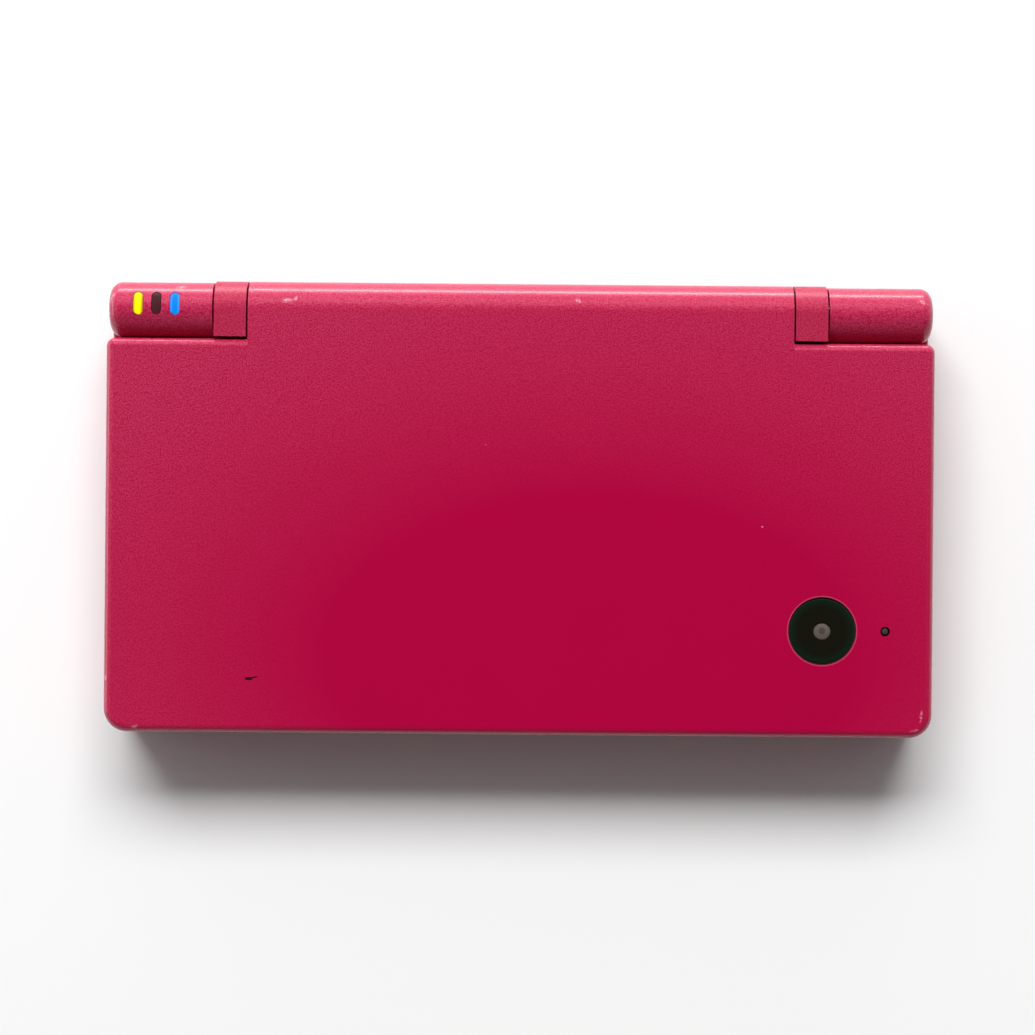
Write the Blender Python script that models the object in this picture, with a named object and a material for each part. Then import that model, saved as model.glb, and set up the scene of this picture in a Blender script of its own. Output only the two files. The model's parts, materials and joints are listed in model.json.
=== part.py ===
"""Clamshell handheld game console, closed, in metres.

+X runs to the right, +Y to the hinge at the rear, +Z up. The origin is under the middle of the case,
on the surface that the feet rest on.
"""

from math import asin, cos, degrees, pi, radians, sin

import bmesh
import bpy
from mathutils import Vector

for old in list(bpy.data.objects):
    bpy.data.objects.remove(old, do_unlink=True)

# Driving dimensions
CASE_WIDTH = 0.1370
CASE_DEPTH = 0.0749
CLOSED_HEIGHT = 0.0189
FOOT_STAND = 0.0005
LOWER_CASE_HEIGHT = 0.0060
UPPER_CASE_HEIGHT = 0.0044
FRAME_HEIGHT = 0.0020
GAP = 0.0003
SEAM = 0.0003
WALL = 0.0013
FLOOR = 0.0012
DECK = 0.0013
FRONT_CORNER = 0.0039
REAR_CORNER = 0.0010
TOP_FILLET = 0.0014
SEAM_FILLET = 0.0004
ROLL_RADIUS = 0.00485
BARREL_RADIUS = 0.0046
BARREL_LENGTH = 0.0173
BARREL_SET_IN = 0.0002
REAR_SET_IN = 0.00035
CHEEK_WIDTH = 0.0053
OVERRUN = 0.0010
LEAST_CORNER = 0.00001
CONTROL_FIELD = 0.0346
SPEAKER_FIELD = 0.0305

# Levels and edges that the driving dimensions give
HALF_WIDTH = CASE_WIDTH / 2
HALF_DEPTH = CASE_DEPTH / 2
LOWER_TOP = FOOT_STAND + LOWER_CASE_HEIGHT
FLOOR_TOP = FOOT_STAND + FLOOR
UPPER_BOTTOM = LOWER_TOP + SEAM
DECK_TOP = UPPER_BOTTOM + UPPER_CASE_HEIGHT
DECK_UNDER = DECK_TOP - DECK
FRAME_BOTTOM = DECK_TOP + SEAM
FRAME_TOP = FRAME_BOTTOM + FRAME_HEIGHT
COVER_BOTTOM = FRAME_TOP + SEAM
HINGE_Y = HALF_DEPTH - ROLL_RADIUS
HINGE_Z = CLOSED_HEIGHT - ROLL_RADIUS
LID_REAR = HINGE_Y - BARREL_RADIUS - GAP
BARREL_INNER = HALF_WIDTH - BARREL_SET_IN - BARREL_LENGTH
BARREL_OUTER = BARREL_INNER + BARREL_LENGTH
CHEEK_OUTER = BARREL_INNER - GAP
CHEEK_INNER = CHEEK_OUTER - CHEEK_WIDTH
ROLL_HALF = CHEEK_INNER - GAP
HINGE = (0, HINGE_Y, HINGE_Z)
BASE_REAR = HALF_DEPTH - REAR_SET_IN
INNER_X = HALF_WIDTH - WALL
INNER_FRONT = -HALF_DEPTH + WALL

SMOOTH_ANGLE = radians(30)
SIDES = {"large": 36, "medium": 20, "small": 12}


def mesh_from(name, rings):
    """A closed mesh through rings of points with the same count, capped at both ends."""
    shape = bmesh.new()
    loops = [[shape.verts.new(point) for point in ring] for ring in rings]
    count = len(loops[0])
    for below, above in zip(loops, loops[1:]):
        for i in range(count):
            j = (i + 1) % count
            shape.faces.new((below[i], below[j], above[j], above[i]))
    shape.faces.new(list(reversed(loops[0])))
    shape.faces.new(loops[-1])
    bmesh.ops.recalc_face_normals(shape, faces=shape.faces)
    mesh = bpy.data.meshes.new(name)
    shape.to_mesh(mesh)
    shape.free()
    mesh.shade_smooth()
    mesh.set_sharp_from_angle(angle=SMOOTH_ANGLE)
    return mesh


def outline(low, high, corners, inset, level, steps):
    """A rectangle with round corners, front left first and counter-clockwise."""
    points = []
    places = (
        (low[0], low[1], 1, 1),
        (high[0], low[1], -1, 1),
        (high[0], high[1], -1, -1),
        (low[0], high[1], 1, -1),
    )
    for index, ((x, y, to_x, to_y), corner) in enumerate(zip(places, corners)):
        if corner == 0:
            points.append((x + to_x * inset, y + to_y * inset, level))
            continue
        radius = max(corner - inset, LEAST_CORNER)
        middle_x = x + to_x * (inset + radius)
        middle_y = y + to_y * (inset + radius)
        for step in range(steps + 1):
            angle = pi + (index + step / steps) * pi / 2
            points.append((middle_x + radius * cos(angle), middle_y + radius * sin(angle), level))
    return points


def slab(low, high, corners=0, top=0, bottom=0, steps=4, edge_steps=2):
    """A flat block between two opposite corners, with round corners and filleted edges."""
    if isinstance(corners, (int, float)):
        corners = (corners,) * 4
    levels = []
    if bottom:
        for step in range(edge_steps):
            angle = step / edge_steps * pi / 2
            levels.append((bottom * (1 - sin(angle)), low[2] + bottom * (1 - cos(angle))))
    levels.append((0, low[2] + bottom))
    levels.append((0, high[2] - top))
    if top:
        for step in range(1, edge_steps + 1):
            angle = step / edge_steps * pi / 2
            levels.append((top * (1 - cos(angle)), high[2] - top * (1 - sin(angle))))
    return mesh_from("slab", [outline(low, high, corners, inset, level, steps) for inset, level in levels])


def turned(axis, centre, profile, size="medium"):
    """A round solid along X, Y or Z through centre, from (place along the axis, radius) pairs."""
    sides = SIDES[size]
    rings = []
    for along, radius in profile:
        ring = []
        for side in range(sides):
            across = radius * cos(2 * pi * side / sides)
            up = radius * sin(2 * pi * side / sides)
            if axis == "X":
                ring.append((along, centre[1] + across, centre[2] + up))
            elif axis == "Y":
                ring.append((centre[0] + up, along, centre[2] + across))
            else:
                ring.append((centre[0] + across, centre[1] + up, along))
        rings.append(ring)
    return mesh_from("turned", rings)


def rod(axis, centre, start, end, radius, size="medium"):
    return turned(axis, centre, ((start, radius), (end, radius)), size)


def dome(start, end, radius, rise, steps=2):
    """The profile of a rod whose far end is rounded over."""
    way = 1 if end > start else -1
    profile = [(start, radius)]
    for step in range(steps + 1):
        angle = step / steps * pi / 2
        profile.append((end - way * rise * (1 - sin(angle)), radius - rise * (1 - cos(angle))))
    return profile


def prism(points, start, end):
    """A (y, z) outline carried along X."""
    return mesh_from("prism", [[(x, y, z) for y, z in points] for x in (start, end)])


def arc(radius, first, last, steps):
    """(y, z) points about the hinge axis; an angle of zero points to the rear."""
    angles = [radians(first + (last - first) * step / steps) for step in range(steps + 1)]
    return [(HINGE_Y + radius * cos(angle), HINGE_Z + radius * sin(angle)) for angle in angles]


def mirrored(mesh):
    """A copy of a mesh on the other side of the middle plane."""
    copy = mesh.copy()
    shape = bmesh.new()
    shape.from_mesh(copy)
    bmesh.ops.scale(shape, vec=(-1, 1, 1), verts=shape.verts)
    bmesh.ops.reverse_faces(shape, faces=shape.faces)
    shape.to_mesh(copy)
    shape.free()
    return copy


def finish(name, colour, roughness, metallic=0.0, alpha=1.0):
    material = bpy.data.materials.new(name)
    material.use_nodes = True
    shader = material.node_tree.nodes["Principled BSDF"]
    shader.inputs["Base Color"].default_value = (*colour, 1.0)
    shader.inputs["Roughness"].default_value = roughness
    shader.inputs["Metallic"].default_value = metallic
    shader.inputs["Alpha"].default_value = alpha
    return material


def empty(name, place, parent=None):
    axis = bpy.data.objects.new(name, None)
    bpy.context.collection.objects.link(axis)
    axis.parent = parent
    axis.location = Vector(place) - world_place(parent)
    return axis


def world_place(item):
    place = Vector((0, 0, 0))
    while item is not None:
        place += item.location
        item = item.parent
    return place


def piece(name, mesh, material, hollows=(), adds=(), keeps=(), cuts=(), origin=(0, 0, 0), parent=None):
    """One sub-part: a mesh in world coordinates, hollowed, added to and cut, with its origin where asked."""
    body = bpy.data.objects.new(name, mesh)
    bpy.context.collection.objects.link(body)
    for vertex in mesh.vertices:
        vertex.co -= Vector(origin)
    body.parent = parent
    body.location = Vector(origin) - world_place(parent)
    mesh.materials.clear()
    mesh.materials.append(material)
    steps = (
        ("hollow", "DIFFERENCE", hollows),
        ("add", "UNION", adds),
        ("keep", "INTERSECT", keeps),
        ("cut", "DIFFERENCE", cuts),
    )
    for step, operation, tools in steps:
        for index, tool_mesh in enumerate(tools):
            tool = bpy.data.objects.new(f"{name}_{step}_{index}", tool_mesh)
            bpy.context.collection.objects.link(tool)
            tool.parent = body
            tool.location = -Vector(origin)
            tool.hide_render = True
            tool.display_type = "WIRE"
            shaping = body.modifiers.new(tool.name, "BOOLEAN")
            shaping.operation = operation
            shaping.solver = "EXACT"
            shaping.object = tool
    flats = body.modifiers.new("flats_stay_flat", "WEIGHTED_NORMAL")
    flats.keep_sharp = True
    return body


PINK_CASE = finish("pink_case", (0.40, 0.002, 0.045), 0.42)
BLACK_PLASTIC = finish("black_plastic", (0.02, 0.02, 0.022), 0.45)
BLACK_RUBBER = finish("black_rubber", (0.03, 0.03, 0.03), 0.8)
GREY_RUBBER = finish("grey_rubber", (0.35, 0.35, 0.36), 0.75)
BOARD_GREEN = finish("board_green", (0.02, 0.16, 0.07), 0.5)
STEEL = finish("steel", (0.62, 0.62, 0.64), 0.3, 1.0)
BATTERY_WRAP = finish("battery_wrap", (0.16, 0.17, 0.19), 0.5)
SCREEN_GLASS = finish("screen_glass", (0.02, 0.02, 0.025), 0.08)
CAMERA_GLASS = finish("camera_glass", (0.01, 0.02, 0.015), 0.06)
YELLOW_LIGHT = finish("yellow_light", (0.95, 0.75, 0.02), 0.35)
DARK_LIGHT = finish("dark_light", (0.06, 0.03, 0.03), 0.35)
BLUE_LIGHT = finish("blue_light", (0.0, 0.28, 1.0), 0.35)

# Each section below adds its own openings to the casing that it sits in.
lower_cuts = []
lower_adds = []
upper_cuts = []
upper_adds = []
board_cuts = []

# Bay between the lower floor and the main board
BAY_HEIGHT = 0.0046
BOARD_THICKNESS = 0.0007
BAY_BOTTOM = FLOOR_TOP + GAP
BAY_TOP = BAY_BOTTOM + BAY_HEIGHT
BOARD_BOTTOM = BAY_TOP + GAP
BOARD_TOP = BOARD_BOTTOM + BOARD_THICKNESS
REAR_BLOCK = 0.0112
INNER_REAR = BASE_REAR - REAR_BLOCK

# Rubber feet in round recesses
FOOT_RADIUS = 0.0030
FOOT_HEIGHT = 0.0008
FOOT_INSET = 0.0085
FOOT_EDGE = 0.0002
for side_name, side in (("left", -1), ("right", 1)):
    for end_name, end in (("front", -1), ("rear", 1)):
        place = (side * (HALF_WIDTH - FOOT_INSET), end * (HALF_DEPTH - FOOT_INSET), 0)
        foot = dome(FOOT_HEIGHT, 0, FOOT_RADIUS, FOOT_EDGE)
        piece(f"foot_{end_name}_{side_name}", turned("Z", place, foot), BLACK_RUBBER)
        lower_cuts.append(rod("Z", place, -OVERRUN, FOOT_HEIGHT + GAP, FOOT_RADIUS + GAP))

# Card reader: a metal channel open to the rear wall
READER_WIDTH = 0.0364
READER_SIDE = 0.0010
READER_ROOF = 0.00035
READER_DEPTH = 0.0364
SLOT_MARGIN = 0.0002
reader_high = (READER_WIDTH / 2, BASE_REAR - WALL - GAP, BAY_TOP)
reader_low = (-READER_WIDTH / 2, reader_high[1] - READER_DEPTH, BAY_BOTTOM)
reader_hollow = slab(
    (reader_low[0] + READER_SIDE, reader_low[1] + READER_SIDE, 0),
    (reader_high[0] - READER_SIDE, reader_high[1] + OVERRUN, BAY_TOP - READER_ROOF),
)
piece("card_reader", slab(reader_low, reader_high), STEEL, cuts=[reader_hollow])
lower_cuts.append(slab(
    (reader_low[0] + READER_SIDE - SLOT_MARGIN, BASE_REAR - WALL - OVERRUN, FLOOR_TOP),
    (reader_high[0] - READER_SIDE + SLOT_MARGIN, BASE_REAR + OVERRUN, UPPER_BOTTOM + OVERRUN),
))

# Stylus in its tube through the right wall
STYLUS_RADIUS = 0.0022
STYLUS_LENGTH = 0.0920
STYLUS_CLEAR = 0.0009
STYLUS_TIP = 0.0060
STYLUS_TIP_RADIUS = 0.0006
STYLUS_END_EDGE = 0.0004
stylus_y = reader_low[1] - STYLUS_CLEAR - STYLUS_RADIUS
stylus_z = BAY_BOTTOM + STYLUS_RADIUS
stylus_front = stylus_y - STYLUS_RADIUS
stylus_end = HALF_WIDTH - BARREL_SET_IN
stylus_start = stylus_end - STYLUS_LENGTH
stylus = turned("X", (0, stylus_y, stylus_z), (
    (stylus_start, STYLUS_TIP_RADIUS),
    (stylus_start + STYLUS_TIP / 2, STYLUS_TIP_RADIUS * 2),
    (stylus_start + STYLUS_TIP, STYLUS_RADIUS),
    (stylus_end - STYLUS_END_EDGE, STYLUS_RADIUS),
    (stylus_end, STYLUS_RADIUS - STYLUS_END_EDGE),
))
piece("stylus", stylus, BLACK_PLASTIC, origin=(stylus_end, stylus_y, stylus_z))
stylus_hole = rod("X", (0, stylus_y, stylus_z), INNER_X - OVERRUN, HALF_WIDTH + OVERRUN, STYLUS_RADIUS + GAP)
lower_cuts.append(stylus_hole)

# Screws with a cross recess, sunk a little in the underside
SCREW_HEAD_RADIUS = 0.0017
SCREW_HEAD_HEIGHT = 0.0008
SCREW_SHANK_RADIUS = 0.0009
SCREW_SUNK = 0.0002
SCREW_REACH = 0.0070
BOSS_HEIGHT = 0.0014
POST_RADIUS = 0.0024
POST_SIDE_INSET = 0.0065
POST_REAR_INSET = 0.0155
POST_FRONT_INSET = 0.0195
MIDDLE_POST_INSET = 0.0074
SCREW_CROSS_WIDTH = 0.0004
SCREW_CROSS_LENGTH = 0.0018
SCREW_CROSS_DEPTH = 0.0004


def cross_recess(place, level, depth):
    """The cross in a screw head, as one outline."""
    wide, narrow = SCREW_CROSS_LENGTH / 2, SCREW_CROSS_WIDTH / 2
    half = [(wide, narrow), (narrow, narrow), (narrow, wide)]
    half += [(-x, y) for x, y in reversed(half)]
    points = half + [(-x, -y) for x, y in half]
    rings = [[(place[0] + x, place[1] + y, z) for x, y in points] for z in (level, level + depth)]
    return mesh_from("cross", rings)


screw_head_bottom = FOOT_STAND + SCREW_SUNK
screw_head_top = screw_head_bottom + SCREW_HEAD_HEIGHT

# Battery, its cover under the case, and the cover's two screws
BATTERY_SIDE_INSET = 0.0165
BATTERY_FRONT_INSET = 0.00345
BATTERY_CORNER = 0.0008
BATTERY_INNER_X = -0.0020
COVER_TO_STYLUS = 0.0006
COVER_MARGIN = 0.0010
COVER_REAR_FLANGE = 0.0037
COVER_CORNER = 0.0015
COVER_SCREW_INSET = 0.0070
COVER_SCREW_REACH = 0.0027
LEDGE_WIDTH = 0.0050
LEDGE_DEPTH = 0.0042
LEDGE_HEIGHT = 0.0025
HEEL_DEPTH = 0.0009
HEEL_HEIGHT = 0.0010
cover_rear = stylus_front - COVER_TO_STYLUS
battery_low = (-HALF_WIDTH + BATTERY_SIDE_INSET, -HALF_DEPTH + BATTERY_FRONT_INSET, BAY_BOTTOM)
battery_high = (BATTERY_INNER_X, cover_rear - COVER_REAR_FLANGE - COVER_MARGIN, BAY_TOP)
battery_cell = slab(battery_low, battery_high, BATTERY_CORNER, BATTERY_CORNER / 2, BATTERY_CORNER / 2)
piece("battery", battery_cell, BATTERY_WRAP)
cover_low = (battery_low[0] - COVER_MARGIN, battery_low[1] - COVER_MARGIN, FOOT_STAND)
cover_high = (battery_high[0] + COVER_MARGIN, cover_rear, FLOOR_TOP)
cover_screw_y = cover_high[1] - COVER_REAR_FLANGE / 2
cover_cuts = []
cover_screw_places = (cover_low[0] + COVER_SCREW_INSET, cover_high[0] - COVER_SCREW_INSET)
for number, screw_x in enumerate(cover_screw_places, 1):
    place = (screw_x, cover_screw_y, 0)
    screw = turned("Z", place, (
        (screw_head_bottom, SCREW_HEAD_RADIUS),
        (screw_head_bottom + SCREW_HEAD_HEIGHT / 2, SCREW_HEAD_RADIUS),
        (screw_head_bottom + SCREW_HEAD_HEIGHT / 2, SCREW_SHANK_RADIUS),
        (FLOOR_TOP + COVER_SCREW_REACH, SCREW_SHANK_RADIUS),
    ), "small")
    cross = cross_recess(place, screw_head_bottom - OVERRUN, OVERRUN + SCREW_CROSS_DEPTH / 2)
    piece(f"battery_cover_screw_{number}", screw, STEEL, cuts=[cross])
    head_seat = screw_head_bottom + SCREW_HEAD_HEIGHT / 2 + GAP
    cover_cuts.append(rod("Z", place, 0, head_seat, SCREW_HEAD_RADIUS + GAP, "small"))
    cover_cuts.append(rod("Z", place, 0, FLOOR_TOP + OVERRUN, SCREW_SHANK_RADIUS + GAP, "small"))
    ledge_rear = cover_high[1]
    ledge_low = (screw_x - LEDGE_WIDTH / 2, ledge_rear - LEDGE_DEPTH, BAY_BOTTOM)
    ledge_high = (screw_x + LEDGE_WIDTH / 2, ledge_rear, BAY_BOTTOM + LEDGE_HEIGHT)
    heel_low = (ledge_low[0], ledge_rear - SEAM, BAY_BOTTOM)
    heel_high = (ledge_high[0], ledge_rear + HEEL_DEPTH, BAY_BOTTOM + HEEL_HEIGHT / 2)
    heel_foot_low = (ledge_low[0], ledge_rear + GAP, FLOOR_TOP - HEEL_HEIGHT / 2)
    lower_adds.append(slab(ledge_low, ledge_high))
    lower_adds.append(slab(heel_low, heel_high))
    lower_adds.append(slab(heel_foot_low, heel_high))
    lower_cuts.append(rod("Z", place, 0, ledge_high[2] + OVERRUN, SCREW_SHANK_RADIUS + GAP, "small"))
piece("battery_cover", slab(cover_low, cover_high, COVER_CORNER), PINK_CASE, cuts=cover_cuts)
bay_opening = slab(
    (cover_low[0] - GAP, cover_low[1] - GAP, -OVERRUN),
    (cover_high[0] + GAP, cover_high[1] + GAP, FLOOR_TOP + GAP / 2),
    COVER_CORNER + GAP,
)

# Memory card socket and the flap that covers it
SOCKET_WIDTH = 0.0244
SOCKET_FRONT_INSET = 0.00395
SOCKET_TO_STYLUS = 0.0025
CARD_HEIGHT = 0.0024
CARD_EDGE = 0.0010
FLAP_THICKNESS = 0.0014
FLAP_HEIGHT = 0.0039
FLAP_PIVOT_INSET = 0.0006
FLAP_PIVOT_DEPTH = 0.0005
flap_outer = HALF_WIDTH - BARREL_SET_IN / 2
socket_front = -HALF_DEPTH + SOCKET_FRONT_INSET
socket_rear = stylus_front - SOCKET_TO_STYLUS
flap_low = (flap_outer - FLAP_THICKNESS, socket_front + GAP, BAY_BOTTOM + GAP)
flap_high = (flap_outer, socket_rear - GAP, flap_low[2] + FLAP_HEIGHT)
flap_pivot = (flap_outer - FLAP_PIVOT_DEPTH, flap_low[1] + FLAP_PIVOT_INSET, BAY_BOTTOM)
socket_high = (flap_low[0] - 2 * GAP, socket_rear, BAY_TOP)
socket_low = (socket_high[0] - SOCKET_WIDTH, socket_front, BAY_BOTTOM)
card_way = slab(
    (socket_low[0] + CARD_EDGE, socket_low[1] + CARD_EDGE, BAY_BOTTOM + CARD_EDGE),
    (socket_high[0] + OVERRUN, socket_high[1] - CARD_EDGE, BAY_BOTTOM + CARD_EDGE + CARD_HEIGHT),
)
piece("memory_card_socket", slab(socket_low, socket_high), STEEL, cuts=[card_way])
piece("memory_card_flap", slab(flap_low, flap_high), PINK_CASE, origin=flap_pivot)
lower_cuts.append(slab(
    (INNER_X - OVERRUN, flap_low[1] - GAP, BAY_BOTTOM),
    (HALF_WIDTH + OVERRUN, flap_high[1] + GAP, UPPER_BOTTOM + OVERRUN),
))

# Shield can under the main board, wireless board on the floor
SHIELD_WIDTH = 0.0120
SHIELD_HEIGHT = 0.0014
SHIELD_FROM_SOCKET = 0.0020
SHIELD_FRONT_INSET = 0.01045
SHIELD_TO_STYLUS = 0.0028
JACK_FROM_SHIELD = 0.0050
WIRELESS_HEIGHT = 0.0012
WIRELESS_FROM_BATTERY = 0.0040
WIRELESS_FROM_JACK = 0.0060
WIRELESS_TO_STYLUS = 0.0038
shield_high = (socket_low[0] - SHIELD_FROM_SOCKET, stylus_front - SHIELD_TO_STYLUS, BAY_TOP)
shield_low = (shield_high[0] - SHIELD_WIDTH, -HALF_DEPTH + SHIELD_FRONT_INSET, BAY_TOP - SHIELD_HEIGHT)
piece("board_shield", slab(shield_low, shield_high), STEEL)
jack_x = shield_low[0] - JACK_FROM_SHIELD
wireless_low = (battery_high[0] + WIRELESS_FROM_BATTERY, battery_low[1], BAY_BOTTOM)
wireless_high = (jack_x - WIRELESS_FROM_JACK, stylus_front - WIRELESS_TO_STYLUS, BAY_BOTTOM + WIRELESS_HEIGHT)
piece("wireless_board", slab(wireless_low, wireless_high), BOARD_GREEN)

# Shoulder buttons at the rear corners, each turning on an upright pin near its inner end
SHOULDER_LENGTH = 0.0217
SHOULDER_DEPTH = 0.0061
SHOULDER_HEIGHT = 0.0055
SHOULDER_CORNER = 0.0022
SHOULDER_EDGE = 0.0004
SHOULDER_SWING_ROOM = 0.0017
PIN_RADIUS = 0.00065
PIN_SET_IN = 0.0013
PIN_FROM_REAR = 0.0041
PIN_SEAT = 0.0004
shoulder_outer = HALF_WIDTH - BARREL_SET_IN
shoulder_low = (shoulder_outer - SHOULDER_LENGTH, BASE_REAR - SHOULDER_DEPTH, BAY_BOTTOM)
shoulder_high = (shoulder_outer, BASE_REAR, BAY_BOTTOM + SHOULDER_HEIGHT)
shoulder_corners = (SHOULDER_EDGE, SHOULDER_EDGE, SHOULDER_CORNER, SHOULDER_EDGE)
notch_low = (shoulder_low[0] - GAP, shoulder_low[1] - SHOULDER_SWING_ROOM, FLOOR_TOP)
notch_high = (HALF_WIDTH + OVERRUN, HALF_DEPTH + OVERRUN, shoulder_high[2] + GAP)
pin_place = (shoulder_low[0] + PIN_SET_IN, BASE_REAR - PIN_FROM_REAR, 0)
pin_bottom = FLOOR_TOP - PIN_SEAT
pin_top = notch_high[2] + PIN_SEAT
notch_wall_y = notch_low[1] - WALL
rear_tray_x = notch_low[0] - WALL
for side_name, turn in (("right", None), ("left", mirrored)):
    button = slab(shoulder_low, shoulder_high, shoulder_corners, SHOULDER_EDGE, SHOULDER_EDGE)
    button_bore = rod("Z", pin_place, 0, notch_high[2], PIN_RADIUS + GAP, "small")
    pin = rod("Z", pin_place, pin_bottom, pin_top, PIN_RADIUS, "small")
    seat = rod("Z", pin_place, pin_bottom - GAP, pin_top + GAP, PIN_RADIUS + GAP, "small")
    notch = slab(notch_low, notch_high)
    pivot = pin_place
    if turn:
        button, button_bore = turn(button), turn(button_bore)
        pin, seat, notch = turn(pin), turn(seat), turn(notch)
        pivot = (-pin_place[0], pin_place[1], 0)
    piece(f"shoulder_button_{side_name}", button, PINK_CASE, cuts=[button_bore], origin=pivot)
    piece(f"shoulder_pin_{side_name}", pin, STEEL)
    lower_cuts.extend((notch, seat))
    upper_cuts.extend((notch.copy(), seat.copy()))

# Headphone jack at the front, power socket at the rear
JACK_WIDTH = 0.0060
JACK_LENGTH = 0.0118
JACK_BORE_RADIUS = 0.00175
JACK_BORE_LENGTH = 0.0100
POWER_WIDTH = 0.0090
POWER_LENGTH = 0.0080
PORT_WIDTH = 0.0062
PORT_HEIGHT = 0.0023
PORT_DEPTH = 0.0055
jack_z = (BAY_BOTTOM + BAY_TOP) / 2
jack_front = INNER_FRONT + GAP
jack_low = (jack_x - JACK_WIDTH / 2, jack_front, BAY_BOTTOM)
jack_high = (jack_x + JACK_WIDTH / 2, jack_front + JACK_LENGTH, BAY_TOP)
jack_place = (jack_x, 0, jack_z)
jack_bore_end = jack_front + JACK_BORE_LENGTH
jack_bore = rod("Y", jack_place, jack_front - OVERRUN, jack_bore_end, JACK_BORE_RADIUS, "small")
piece("headphone_jack", slab(jack_low, jack_high), BLACK_PLASTIC, cuts=[jack_bore])
jack_opening = JACK_BORE_RADIUS + SLOT_MARGIN
jack_mouth = rod("Y", jack_place, -HALF_DEPTH - OVERRUN, INNER_FRONT + SLOT_MARGIN, jack_opening, "small")
lower_cuts.append(jack_mouth)
power_rear = BASE_REAR - WALL - GAP
power_x = (reader_high[0] + rear_tray_x) / 2
power_low = (power_x - POWER_WIDTH / 2, power_rear - POWER_LENGTH, BAY_BOTTOM)
power_high = (power_x + POWER_WIDTH / 2, power_rear, BAY_TOP)
port_low = (power_x - PORT_WIDTH / 2, power_rear - PORT_DEPTH, jack_z - PORT_HEIGHT / 2)
port_high = (power_x + PORT_WIDTH / 2, BASE_REAR + OVERRUN, jack_z + PORT_HEIGHT / 2)
piece("power_socket", slab(power_low, power_high), BLACK_PLASTIC, cuts=[slab(port_low, port_high)])
lower_cuts.append(slab(
    (port_low[0] - SLOT_MARGIN, BASE_REAR - WALL - SLOT_MARGIN, port_low[2] - SLOT_MARGIN),
    (port_high[0] + SLOT_MARGIN, port_high[1], port_high[2] + SLOT_MARGIN),
))

# Case screws, each through a boss on the floor into a post under the deck
case_screw_places = (
    (-HALF_WIDTH + POST_SIDE_INSET, HALF_DEPTH - POST_REAR_INSET, 0),
    (HALF_WIDTH - POST_SIDE_INSET, HALF_DEPTH - POST_REAR_INSET, 0),
    (-HALF_WIDTH + POST_SIDE_INSET, -HALF_DEPTH + POST_FRONT_INSET, 0),
    ((shield_low[0] + shield_high[0]) / 2, -HALF_DEPTH + MIDDLE_POST_INSET, 0),
)
for number, place in enumerate(case_screw_places, 1):
    screw = turned("Z", place, (
        (screw_head_bottom, SCREW_HEAD_RADIUS),
        (screw_head_top, SCREW_HEAD_RADIUS),
        (screw_head_top, SCREW_SHANK_RADIUS),
        (screw_head_top + SCREW_REACH, SCREW_SHANK_RADIUS),
    ), "small")
    cross = cross_recess(place, screw_head_bottom - OVERRUN, OVERRUN + SCREW_CROSS_DEPTH)
    piece(f"case_screw_{number}", screw, STEEL, cuts=[cross])
    lower_cuts.append(rod("Z", place, -OVERRUN, screw_head_top + GAP, SCREW_HEAD_RADIUS + GAP, "small"))
    lower_cuts.append(rod("Z", place, 0, LOWER_TOP, SCREW_SHANK_RADIUS + GAP, "small"))
    lower_adds.append(rod("Z", place, FOOT_STAND + SCREW_SUNK, FLOOR_TOP + BOSS_HEIGHT, POST_RADIUS))
    upper_adds.append(rod("Z", place, FLOOR_TOP + BOSS_HEIGHT + GAP, DECK_UNDER + SCREW_SUNK, POST_RADIUS))
    shank_top = screw_head_top + SCREW_REACH
    upper_cuts.append(rod("Z", place, 0, shank_top + GAP, SCREW_SHANK_RADIUS + GAP, "small"))
    board_cuts.append(rod("Z", place, BOARD_BOTTOM - OVERRUN, BOARD_TOP + OVERRUN, POST_RADIUS + GAP))

# Volume rocker in the left wall
ROCKER_LENGTH = 0.0120
ROCKER_HEIGHT = 0.0030
ROCKER_THICKNESS = 0.0015
ROCKER_REAR = -0.0080
ROCKER_RISE = 0.0009
ROCKER_CORNER = 0.0006
rocker_low = (-HALF_WIDTH + BARREL_SET_IN / 2, ROCKER_REAR - ROCKER_LENGTH, BAY_BOTTOM + ROCKER_RISE)
rocker_high = (rocker_low[0] + ROCKER_THICKNESS, ROCKER_REAR, rocker_low[2] + ROCKER_HEIGHT)
rocker_pivot = tuple((a + b) / 2 for a, b in zip(rocker_low, rocker_high))
piece("volume_rocker", slab(rocker_low, rocker_high, ROCKER_CORNER), PINK_CASE, origin=rocker_pivot)
lower_cuts.append(slab(
    (-HALF_WIDTH - OVERRUN, rocker_low[1] - GAP, rocker_low[2] - GAP),
    (-INNER_X + OVERRUN, rocker_high[1] + GAP, UPPER_BOTTOM + OVERRUN),
))

# Touch display on the main board, its panel flush in the deck
PANEL_FRONT_MARGIN = 0.01195
PANEL_REAR_MARGIN = 0.0020
PANEL_THICKNESS = 0.0010
PANEL_SUNK = 0.0002
PANEL_CORNER = 0.0006
DISPLAY_MARGIN = 0.0010
panel_high = (HALF_WIDTH - CONTROL_FIELD, INNER_REAR - PANEL_REAR_MARGIN, DECK_TOP - PANEL_SUNK)
panel_low = (-panel_high[0], -HALF_DEPTH + PANEL_FRONT_MARGIN, panel_high[2] - PANEL_THICKNESS)
piece("touch_panel", slab(panel_low, panel_high, PANEL_CORNER), SCREEN_GLASS)
upper_cuts.append(slab(
    (panel_low[0] - GAP, panel_low[1] - GAP, DECK_UNDER - OVERRUN),
    (panel_high[0] + GAP, panel_high[1] + GAP, DECK_TOP + OVERRUN),
    PANEL_CORNER + GAP,
))
display_low = (panel_low[0] - DISPLAY_MARGIN, panel_low[1] - DISPLAY_MARGIN, BOARD_TOP + GAP)
display_high = (panel_high[0] + DISPLAY_MARGIN, panel_high[1] + DISPLAY_MARGIN, DECK_UNDER - GAP)
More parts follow.
